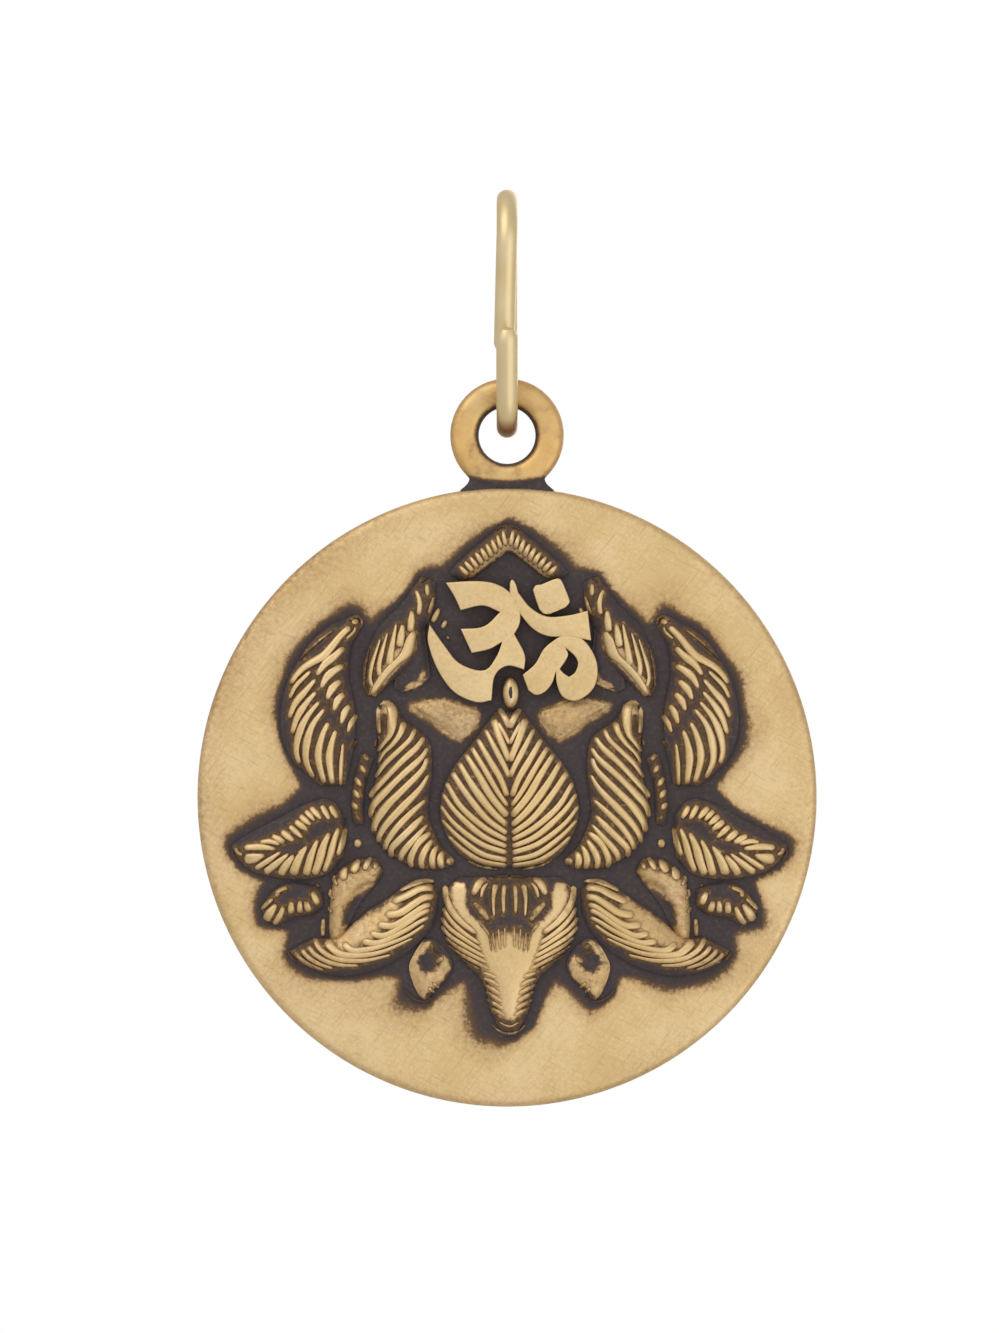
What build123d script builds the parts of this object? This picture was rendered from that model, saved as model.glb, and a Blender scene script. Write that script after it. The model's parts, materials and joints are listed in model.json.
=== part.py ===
from build123d import *
from collections import namedtuple
from math import acos, asin, atan2, cos, hypot, pi, sin
import os

# A round cast charm with a raised lotus, hanging by its eyelet from a long open wire bail.
# Sizes are millimetres. The front faces -Y and up is +Z.
# The origin is the inside top of the bail, where a chain passes.

# Disc
disc_diameter = 25.0
disc_thickness = 1.6
disc_edge_rounding = 0.35

# Raised lotus on the front of the disc
petal_height = 0.75
relief_root = 0.15
flower_shift = 0.10
vein_depth = 0.14

# Raised sign above the lotus bud
sign_height = 0.60
dot_width = 1.25
dot_height = 1.18
dot_rounding = 0.28
dot_tilt = 19.0

# Eyelet and the neck below it
ring_width = 1.15
ring_thickness = 1.50
ring_rounding = 0.40
hole_room = 1.05
ring_overlap = 0.19
neck_width = 3.40
neck_thickness = 1.20
neck_length = 0.45
neck_root = 0.60

# Bail wire
wire_width = 0.88
wire_depth = 0.85
wire_end_rounding = 0.16
bail_length = 10.05
top_bend_radius = 1.65
swing_clearance = 0.18
upper_limb_reach = 5.80
upper_end_offset = 0.95
limb_overlap = 0.92
limb_gap = 0.20

# Shares of other sizes
petal_wall_share = 0.30
largest_rounding_share = 0.45

# Heights along Z, worked out from the top down
ring_corner = min(ring_rounding, largest_rounding_share * min(ring_width, ring_thickness))
ring_reach = hypot(ring_width / 2 - ring_corner, ring_thickness / 2 - ring_corner) + ring_corner
bottom_bend_radius = ring_reach + swing_clearance + wire_depth / 2
top_bend_z = wire_depth / 2 - top_bend_radius
swing_z = wire_depth + wire_depth / 2 - bail_length + bottom_bend_radius
hole_radius = (bottom_bend_radius + wire_depth / 2 - ring_width / 2 + hole_room) / 2
ring_radius = hole_radius + ring_width
ring_z = swing_z - hole_radius - ring_width / 2
disc_radius = disc_diameter / 2
disc_top_z = ring_z - ring_radius + ring_overlap
disc_z = disc_top_z - disc_radius
front_y = -disc_thickness / 2

# Each row is one section across a petal, from the point where it starts to the point where it ends.
# Across and up are shares of the disc's radius from its middle, rise is a share of the petal height.
Section = namedtuple("Section", "start_across start_up end_across end_up rise")

MIDDLE_PETALS = {
    "bud": [
        Section(-0.008, 0.284, 0.008, 0.284, 0.70),
        Section(-0.024, 0.315, 0.024, 0.315, 0.95),
        Section(-0.024, 0.360, 0.024, 0.360, 0.95),
        Section(-0.008, 0.389, 0.008, 0.389, 0.70),
    ],
    "roof_petal": [
        Section(-0.200, 0.735, -0.150, 0.715, 0.45),
        Section(-0.145, 0.795, -0.090, 0.745, 0.60),
        Section(-0.050, 0.868, -0.030, 0.790, 0.75),
        Section(0.000, 0.888, 0.000, 0.805, 0.80),
        Section(0.050, 0.868, 0.030, 0.790, 0.75),
        Section(0.145, 0.795, 0.090, 0.745, 0.60),
        Section(0.200, 0.735, 0.150, 0.715, 0.45),
    ],
    "bottom_petal": [
        Section(-0.170, -0.268, 0.170, -0.268, 0.50),
        Section(-0.208, -0.340, 0.208, -0.340, 0.75),
        Section(-0.212, -0.430, 0.212, -0.430, 0.80),
        Section(-0.150, -0.525, 0.150, -0.525, 0.85),
        Section(-0.083, -0.600, 0.083, -0.600, 0.85),
        Section(-0.057, -0.700, 0.057, -0.700, 0.70),
        Section(-0.018, -0.765, 0.018, -0.765, 0.45),
    ],
}

# The centre petal dips to a vein along its middle.
VEINED_PETALS = {
    "centre_petal": [
        Section(-0.070, -0.225, 0.070, -0.225, 0.45),
        Section(-0.165, -0.180, 0.165, -0.180, 0.75),
        Section(-0.222, -0.060, 0.222, -0.060, 0.95),
        Section(-0.195, 0.070, 0.195, 0.070, 1.00),
        Section(-0.115, 0.180, 0.115, 0.180, 0.95),
        Section(-0.045, 0.275, 0.045, 0.275, 0.70),
    ],
}

# These stand on the left of the middle, and each has a mirrored twin on the right.
SIDE_PETALS = {
    "inner_petal": [
        Section(-0.200, -0.228, -0.178, -0.202, 0.40),
        Section(-0.310, -0.225, -0.225, -0.150, 0.70),
        Section(-0.420, -0.145, -0.262, -0.060, 0.85),
        Section(-0.447, -0.030, -0.258, 0.020, 0.90),
        Section(-0.425, 0.085, -0.250, 0.110, 0.90),
        Section(-0.423, 0.180, -0.268, 0.195, 0.85),
        Section(-0.425, 0.245, -0.340, 0.250, 0.80),
        Section(-0.410, 0.300, -0.368, 0.300, 0.60),
    ],
    "sliver_petal": [
        Section(-0.478, 0.140, -0.440, 0.125, 0.40),
        Section(-0.502, 0.050, -0.464, 0.045, 0.45),
        Section(-0.510, -0.030, -0.470, -0.035, 0.45),
        Section(-0.500, -0.090, -0.472, -0.085, 0.38),
    ],
    "back_petal": [
        Section(-0.310, 0.300, -0.292, 0.275, 0.38),
        Section(-0.240, 0.318, -0.215, 0.225, 0.45),
        Section(-0.170, 0.298, -0.150, 0.190, 0.45),
        Section(-0.105, 0.277, -0.097, 0.245, 0.38),
    ],
    "outer_petal": [
        Section(-0.610, 0.038, -0.528, 0.042, 0.45),
        Section(-0.700, 0.120, -0.530, 0.120, 0.80),
        Section(-0.737, 0.220, -0.532, 0.190, 0.90),
        Section(-0.725, 0.345, -0.510, 0.285, 0.90),
        Section(-0.665, 0.465, -0.520, 0.400, 0.80),
        Section(-0.595, 0.545, -0.508, 0.490, 0.70),
        Section(-0.500, 0.588, -0.475, 0.555, 0.45),
    ],
    "upper_petal": [
        Section(-0.458, 0.330, -0.432, 0.325, 0.42),
        Section(-0.472, 0.400, -0.385, 0.390, 0.65),
        Section(-0.455, 0.470, -0.340, 0.445, 0.75),
        Section(-0.415, 0.555, -0.305, 0.530, 0.75),
        Section(-0.350, 0.625, -0.250, 0.610, 0.65),
        Section(-0.285, 0.712, -0.238, 0.695, 0.45),
    ],
    "wing_petal": [
        Section(-0.895, -0.152, -0.892, -0.182, 0.40),
        Section(-0.830, -0.112, -0.835, -0.235, 0.65),
        Section(-0.740, -0.065, -0.740, -0.260, 0.80),
        Section(-0.650, -0.018, -0.650, -0.262, 0.85),
        Section(-0.580, -0.008, -0.580, -0.240, 0.80),
        Section(-0.530, -0.060, -0.535, -0.190, 0.60),
    ],
    "hand_petal": [
        Section(-0.800, -0.362, -0.785, -0.398, 0.40),
        Section(-0.765, -0.305, -0.745, -0.408, 0.60),
        Section(-0.710, -0.278, -0.690, -0.385, 0.70),
        Section(-0.650, -0.280, -0.635, -0.377, 0.70),
        Section(-0.603, -0.300, -0.600, -0.350, 0.50),
    ],
    "curled_petal": [
        Section(-0.708, -0.495, -0.695, -0.525, 0.40),
        Section(-0.635, -0.457, -0.620, -0.560, 0.70),
        Section(-0.555, -0.450, -0.530, -0.576, 0.80),
        Section(-0.470, -0.376, -0.410, -0.545, 0.90),
        Section(-0.390, -0.325, -0.305, -0.478, 0.90),
        Section(-0.335, -0.285, -0.242, -0.395, 0.85),
        Section(-0.270, -0.265, -0.228, -0.300, 0.60),
    ],
    "fold_petal": [
        Section(-0.582, -0.430, -0.560, -0.430, 0.45),
        Section(-0.583, -0.350, -0.520, -0.370, 0.65),
        Section(-0.560, -0.255, -0.470, -0.310, 0.70),
        Section(-0.495, -0.203, -0.440, -0.270, 0.65),
        Section(-0.430, -0.197, -0.418, -0.238, 0.50),
    ],
    "hook_petal": [
        Section(-0.285, -0.475, -0.268, -0.490, 0.42),
        Section(-0.322, -0.535, -0.286, -0.532, 0.58),
        Section(-0.305, -0.615, -0.270, -0.568, 0.70),
        Section(-0.240, -0.620, -0.236, -0.568, 0.68),
        Section(-0.186, -0.548, -0.207, -0.533, 0.45),
    ],
}

# Each stroke of the sign is a closed outline of runs that meet at its corners.
# A point is across and up from the disc's middle, as shares of its radius.
SIGN_STROKES = {
    "three": [
        [(-0.198, 0.692), (-0.100, 0.697), (-0.036, 0.688), (0.010, 0.658), (0.040, 0.600),
         (0.040, 0.558), (0.023, 0.527)],
        [(0.023, 0.527), (0.057, 0.460), (0.055, 0.412)],
        [(0.055, 0.412), (0.000, 0.424), (-0.040, 0.391), (-0.050, 0.313)],
        [(-0.050, 0.313), (-0.100, 0.307), (-0.170, 0.339), (-0.222, 0.408), (-0.255, 0.500),
         (-0.250, 0.558)],
        [(-0.250, 0.558), (-0.203, 0.491), (-0.153, 0.432), (-0.075, 0.409), (-0.035, 0.453),
         (-0.016, 0.501)],
        [(-0.016, 0.501), (-0.057, 0.478), (-0.114, 0.465)],
        [(-0.114, 0.465), (-0.150, 0.543)],
        [(-0.150, 0.543), (-0.075, 0.551), (-0.023, 0.597)],
        [(-0.023, 0.597), (-0.079, 0.618), (-0.150, 0.603)],
        [(-0.150, 0.603), (-0.170, 0.647), (-0.198, 0.692)],
    ],
    "arm": [
        [(0.008, 0.640), (0.009, 0.690), (0.017, 0.702), (0.027, 0.690), (0.036, 0.660)],
        [(0.036, 0.660), (0.075, 0.612), (0.129, 0.583), (0.200, 0.587), (0.260, 0.602)],
        [(0.260, 0.602), (0.271, 0.505)],
        [(0.271, 0.505), (0.200, 0.518), (0.133, 0.519), (0.081, 0.545), (0.030, 0.605)],
        [(0.030, 0.605), (0.008, 0.640)],
    ],
    "loop": [
        [(0.050, 0.395), (0.090, 0.430), (0.118, 0.478), (0.155, 0.509), (0.200, 0.535)],
        [(0.200, 0.535), (0.255, 0.499), (0.290, 0.430), (0.281, 0.356), (0.229, 0.313),
         (0.181, 0.322), (0.160, 0.365), (0.157, 0.404)],
        [(0.157, 0.404), (0.144, 0.366), (0.120, 0.339), (0.092, 0.330), (0.068, 0.345)],
        [(0.068, 0.345), (0.050, 0.395)],
    ],
}
LOOP_HOLE = [
    [(0.188, 0.482), (0.218, 0.455), (0.228, 0.430), (0.218, 0.402), (0.200, 0.389)],
    [(0.200, 0.389), (0.183, 0.400), (0.170, 0.414)],
    [(0.170, 0.414), (0.190, 0.443), (0.197, 0.463), (0.188, 0.482)],
]
DOT_CENTRE = (0.141, 0.645)


def on_disc(across, up, proud):
    """A point over the disc's front, from shares of its radius and a height above its face."""
    return Vector(across * disc_radius + flower_shift, front_y - proud, disc_z + up * disc_radius)


def petal_section(row, crest_drop):
    """The closed outline of one section: a base in the disc, two upright walls and a crown."""
    crest = row.rise * petal_height
    wall = petal_wall_share * crest
    foot_start = on_disc(row.start_across, row.start_up, -relief_root)
    wall_start = on_disc(row.start_across, row.start_up, wall)
    foot_end = on_disc(row.end_across, row.end_up, -relief_root)
    wall_end = on_disc(row.end_across, row.end_up, wall)

    def over(share, height):
        """A point a share of the way across the section, at a height above the walls."""
        return wall_start + (wall_end - wall_start) * share - Vector(0, height, 0)

    if crest_drop:
        valley = over(1 / 2, crest - wall - crest_drop * row.rise)
        left_crown = ThreePointArc(wall_start, over(1 / 4, crest - wall), valley)
        right_crown = ThreePointArc(valley, over(3 / 4, crest - wall), wall_end)
        crown = [left_crown, right_crown]
    else:
        crown = [ThreePointArc(wall_start, over(1 / 2, crest - wall), wall_end)]
    return Wire([Line(foot_start, wall_start), *crown, Line(wall_end, foot_end), Line(foot_end, foot_start)])


def petal(rows, crest_drop=0):
    return Solid.make_loft([petal_section(row, crest_drop) for row in rows])


def outline_face(runs, proud):
    edges = []
    for run in runs:
        points = [on_disc(across, up, proud) for across, up in run]
        edges.append(Spline(*points) if len(points) > 2 else Line(*points))
    return Face(Wire(edges))


def stroke(runs, low, high):
    """A flat topped stroke from one height above the disc's face to another."""
    face = outline_face(runs, low)
    return extrude(face, amount=high - low, dir=(0, -1, 0)).solid()


def make_lotus():
    petals = [petal(rows) for rows in MIDDLE_PETALS.values()]
    petals += [petal(rows, vein_depth) for rows in VEINED_PETALS.values()]
    flower_middle = Plane.YZ.offset(flower_shift)
    for rows in SIDE_PETALS.values():
        left = petal(rows)
        petals += [left, left.mirror(flower_middle)]
    return petals


def make_sign():
    strokes = [stroke(runs, -relief_root, sign_height) for runs in SIGN_STROKES.values()]
    hole = stroke(LOOP_HOLE, 0, 2 * sign_height)
    place = Plane(on_disc(*DOT_CENTRE, -relief_root), x_dir=(1, 0, 0), z_dir=(0, -1, 0))
    dot_outline = place * Rot(0, 0, dot_tilt) * RectangleRounded(dot_width, dot_height, dot_rounding)
    dot = extrude(dot_outline, amount=sign_height + relief_root).solid()
    return strokes, hole, dot


def make_disc():
    disc = Pos(0, 0, disc_z) * Cylinder(disc_radius, disc_thickness, rotation=(90, 0, 0))
    return fillet(disc.edges().filter_by(GeomType.CIRCLE), disc_edge_rounding)


def make_eyelet():
    ring = Cylinder(ring_radius, ring_thickness) - Cylinder(hole_radius, 2 * ring_thickness)
    ring = fillet(ring.edges().filter_by(GeomType.CIRCLE), ring_corner)
    neck_height = neck_length + neck_root
    neck = Pos(0, 0, disc_top_z + neck_length - neck_height / 2) * Box(neck_width, neck_thickness, neck_height)
    return Pos(0, 0, ring_z) * Rot(90, 0, 0) * ring + neck


def make_medallion():
    strokes, hole, dot = make_sign()
    plain = make_disc() + make_eyelet()
    raised = plain.fuse(*make_lotus(), *strokes, dot)
    return raised.cut(hole)


def on_bend(centre_z, radius, angle):
    """A point on one of the bail's bends, at an angle from +Y towards +Z."""
    return Vector(0, radius * cos(angle), centre_z + radius * sin(angle))


def touch_angle(centre_z, radius, point, side):
    """The angle on a bend where a straight limb to the point leaves it."""
    away = Vector(0, 0, centre_z)
    reach = (point - away).length
    return atan2(point.Z - centre_z, point.Y) + side * acos(radius / reach)


def make_bail():
    upper_end = Vector(0, -upper_end_offset, -upper_limb_reach)
    upper_leave = touch_angle(top_bend_z, top_bend_radius, upper_end, -1)
    upper_start = on_bend(top_bend_z, top_bend_radius, upper_leave)

    tip_z = limb_overlap - upper_limb_reach
    along = (tip_z - upper_end.Z) / (upper_start.Z - upper_end.Z)
    upper_at_tip = upper_end + (upper_start - upper_end) * along
    lower_end = Vector(0, upper_at_tip.Y - wire_depth - limb_gap, tip_z)
    lower_leave = touch_angle(swing_z, bottom_bend_radius, lower_end, 1)
    lower_start = on_bend(swing_z, bottom_bend_radius, lower_leave)

    back_angle = asin((top_bend_radius - bottom_bend_radius) / (top_bend_z - swing_z))
    back_top = on_bend(top_bend_z, top_bend_radius, back_angle)
    back_bottom = on_bend(swing_z, bottom_bend_radius, back_angle)

    path = Wire([
        Line(upper_end, upper_start),
        ThreePointArc(upper_start, on_bend(top_bend_z, top_bend_radius, pi / 2), back_top),
        Line(back_top, back_bottom),
        ThreePointArc(back_bottom, on_bend(swing_z, bottom_bend_radius, -pi / 2), lower_start),
        Line(lower_start, lower_end),
    ])
    start = Plane(upper_end, x_dir=(1, 0, 0), z_dir=upper_start - upper_end)
    wire = sweep(start * Ellipse(wire_width / 2, wire_depth / 2), path=path)
    end_rounding = min(wire_end_rounding, largest_rounding_share * min(wire_depth, wire_width))
    outlines = wire.edges().filter_by(GeomType.ELLIPSE)
    upper_outline = outlines.sort_by_distance(upper_end)[0]
    lower_outline = outlines.sort_by_distance(lower_end)[0]
    return fillet([upper_outline, lower_outline], end_rounding)


os.makedirs("parts", exist_ok=True)
export_step(make_medallion(), "parts/medallion.step")
export_step(make_bail(), "parts/bail.step")
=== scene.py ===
# Lotus charm: an antiqued cast brass disc with a raised lotus and sign, on a long open wire bail.
# The front faces -Y, up is +Z, and lengths are in metres. Places and lengths in the tables are in
# thousandths of the disc's radius, from its middle, and rises, depths and tarnish are in percent.

import json
from collections import namedtuple
from math import acos, asin, atan2, cos, hypot, pi, radians, sin, sqrt

import bmesh
import bpy
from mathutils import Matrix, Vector, noise
from mathutils.bvhtree import BVHTree


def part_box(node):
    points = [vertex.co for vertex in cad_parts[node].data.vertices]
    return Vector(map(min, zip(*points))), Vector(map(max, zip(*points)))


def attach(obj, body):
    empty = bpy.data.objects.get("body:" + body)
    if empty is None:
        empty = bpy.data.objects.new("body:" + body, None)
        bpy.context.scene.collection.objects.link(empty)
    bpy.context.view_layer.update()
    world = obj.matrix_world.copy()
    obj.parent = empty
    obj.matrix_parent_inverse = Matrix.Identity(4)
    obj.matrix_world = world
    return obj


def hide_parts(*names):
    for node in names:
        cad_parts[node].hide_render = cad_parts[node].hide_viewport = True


bl_info = {
    "name": "Lotus Charm",
    "version": (1, 0, 0),
    "blender": (4, 5, 0),
    "location": "View3D > Sidebar > Charm",
    "description": "Builds an antiqued lotus charm on a long wire bail",
    "category": "Add Mesh",
}

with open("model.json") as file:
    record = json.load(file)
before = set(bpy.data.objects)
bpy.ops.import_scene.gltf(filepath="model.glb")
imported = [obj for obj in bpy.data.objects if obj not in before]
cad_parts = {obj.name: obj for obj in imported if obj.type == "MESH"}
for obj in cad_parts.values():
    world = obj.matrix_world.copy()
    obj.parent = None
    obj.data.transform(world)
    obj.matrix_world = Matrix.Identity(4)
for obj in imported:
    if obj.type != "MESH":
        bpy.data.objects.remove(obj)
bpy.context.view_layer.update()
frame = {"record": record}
MM = 0.001

DISC_LOW, DISC_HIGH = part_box("medallion")
BAIL_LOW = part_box("bail")[0]
RADIUS = (DISC_HIGH[0] - DISC_LOW[0]) / 2
DISC_Z = DISC_LOW[2] + RADIUS
DISC_TOP = DISC_Z + RADIUS
BACK_Y = DISC_HIGH[1]
FRONT_Y = -BACK_Y
# The medallion swings about this height.
SWING_Z = frame["record"]["behaviour"]["joints"][0]["pos_m"][2]

# The lotus is mirrored about this line, and its roof about another, as shares of the radius.
FLOWER_AXIS = 0.008
ROOF_AXIS = 0.003

EYELET_RADIUS = 2.298 * MM
EYELET_WIDTH = 1.15 * MM
EYELET_DEPTH = 1.50 * MM
EYELET_Z = DISC_HIGH[2] - EYELET_RADIUS

NECK_WIDTH = 3.00 * MM
NECK_DEPTH = 1.25 * MM
NECK_LOW = DISC_TOP - 0.60 * MM
NECK_HIGH = DISC_TOP + 0.62 * MM
# Over this height it narrows in a hollow curve, from this much wider at the disc.
FLARE_HEIGHT = 0.56 * MM
NECK_FLARE = 0.29

WIRE = 0.85 * MM
TOP_BEND = 1.65 * MM
UPPER_END = Vector((0, -0.95 * MM, -5.80 * MM))
HOOK_TIP_Z = -4.88 * MM
HOOK_GAP = 0.20 * MM
# The hook's front limb is a little wider, and the upper limb's end leans to the left.
HOOK_WIDTH = 0.88 * MM
UPPER_LEAN = 0.12 * MM
END_ROUNDING = 0.16 * MM


def thousandths(values):
    return tuple(value / 1000 for value in values)


def spots(*points):
    """Places, across and up from the disc's middle."""
    return [thousandths(point) for point in points]


# Petal plates. Each row is one section across a petal, from where it starts to where it ends,
# measured from the flower's line. Rise is how much of the petal height it has.
Section = namedtuple("Section", "start_across start_up end_across end_up rise")


def section(start_across, start_up, end_across, end_up, rise):
    return Section(*thousandths((start_across, start_up, end_across, end_up)), rise / 100)


MIDDLE_PLATES = {
    "bud": [
        section(-8, 284, 12, 284, 70),
        section(-24, 315, 28, 315, 90),
        section(-24, 360, 28, 360, 90),
        section(-8, 389, 12, 389, 70),
    ],
    "roof": [
        section(-195, 725, -155, 695, 45),
        section(-142, 782, -98, 722, 60),
        section(-50, 857, -34, 772, 75),
        section(-5, 880, -5, 790, 80),
        section(45, 857, 29, 772, 75),
        section(137, 782, 93, 722, 60),
        section(190, 725, 150, 695, 45),
    ],
    "bottom": [
        section(-160, -258, 160, -258, 30),
        section(-196, -290, 196, -290, 68),
        section(-209, -350, 209, -350, 76),
        section(-212, -430, 212, -430, 80),
        section(-150, -525, 150, -525, 85),
        section(-83, -600, 83, -600, 85),
        section(-57, -700, 57, -700, 70),
        section(-18, -765, 18, -765, 45),
    ],
    "centre": [
        section(-70, -225, 70, -225, 45),
        section(-165, -180, 165, -180, 75),
        section(-222, -60, 222, -60, 95),
        section(-195, 70, 195, 70, 100),
        section(-115, 180, 115, 180, 95),
        section(-45, 275, 45, 275, 70),
    ],
}

# These stand on the left, and each has a mirrored twin on the right.
SIDE_PLATES = {
    "inner": [
        section(-200, -228, -178, -202, 40),
        section(-310, -225, -225, -150, 70),
        section(-420, -145, -262, -60, 85),
        section(-447, -30, -258, 20, 90),
        section(-425, 85, -250, 110, 90),
        section(-423, 180, -268, 195, 85),
        section(-425, 245, -340, 250, 80),
        section(-410, 300, -368, 300, 60),
    ],
    "sliver": [
        section(-478, 140, -440, 125, 40),
        section(-502, 50, -464, 45, 45),
        section(-510, -30, -470, -35, 45),
        section(-500, -90, -472, -85, 38),
    ],
    "back": [
        section(-310, 300, -292, 275, 38),
        section(-240, 318, -215, 225, 45),
        section(-170, 298, -150, 190, 45),
        section(-105, 277, -97, 245, 38),
    ],
    "far_back": [
        section(-372, 352, -345, 338, 30),
        section(-365, 405, -262, 378, 36),
        section(-325, 455, -262, 442, 36),
        section(-312, 510, -270, 505, 32),
        section(-300, 562, -276, 560, 25),
    ],
    "outer": [
        section(-610, 38, -528, 42, 45),
        section(-700, 120, -512, 120, 80),
        section(-737, 220, -500, 190, 90),
        section(-725, 345, -500, 285, 90),
        section(-665, 465, -520, 400, 80),
        section(-595, 545, -508, 490, 70),
        section(-500, 588, -475, 555, 45),
    ],
    "upper": [
        section(-458, 330, -432, 325, 42),
        section(-474, 400, -368, 384, 65),
        section(-458, 470, -318, 436, 75),
        section(-418, 555, -284, 524, 75),
        section(-350, 625, -246, 610, 65),
        section(-285, 712, -238, 695, 45),
    ],
    "wing": [
        section(-895, -152, -892, -182, 40),
        section(-830, -112, -835, -235, 65),
        section(-740, -65, -740, -260, 80),
        section(-650, -18, -650, -262, 85),
        section(-580, -8, -580, -240, 80),
        section(-530, -60, -535, -190, 60),
    ],
    "hand": [
        section(-800, -362, -785, -398, 40),
        section(-765, -305, -745, -408, 60),
        section(-710, -278, -690, -385, 70),
        section(-650, -280, -635, -377, 70),
        section(-603, -300, -600, -350, 50),
    ],
    "curled": [
        section(-708, -495, -695, -525, 40),
        section(-635, -457, -620, -560, 70),
        section(-555, -450, -530, -576, 80),
        section(-470, -376, -410, -545, 90),
        section(-390, -325, -305, -478, 90),
        section(-335, -285, -242, -395, 85),
        section(-270, -265, -228, -300, 60),
    ],
    "fold": [
        section(-580, -458, -550, -464, 50),
        section(-582, -405, -520, -412, 62),
        section(-578, -335, -492, -356, 70),
        section(-560, -252, -456, -306, 72),
        section(-500, -205, -424, -268, 66),
        section(-430, -197, -406, -236, 50),
    ],
    "hook": [
        section(-278, -458, -244, -456, 35),
        section(-308, -505, -202, -498, 50),
        section(-324, -545, -184, -540, 62),
        section(-314, -592, -204, -588, 62),
        section(-294, -634, -246, -624, 50),
        section(-276, -654, -262, -652, 35),
    ],
}

# Ridges on the petals. Tarnish is how dark the crown stays, widths are spaced evenly from the
# start to the end, and the path runs through the spots. Side ridges have mirrored twins.
Ridge = namedtuple("Ridge", "tarnish widths path")


def ridge(tarnish, widths, *path):
    return Ridge(tarnish / 100, thousandths(widths), spots(*path))


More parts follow.
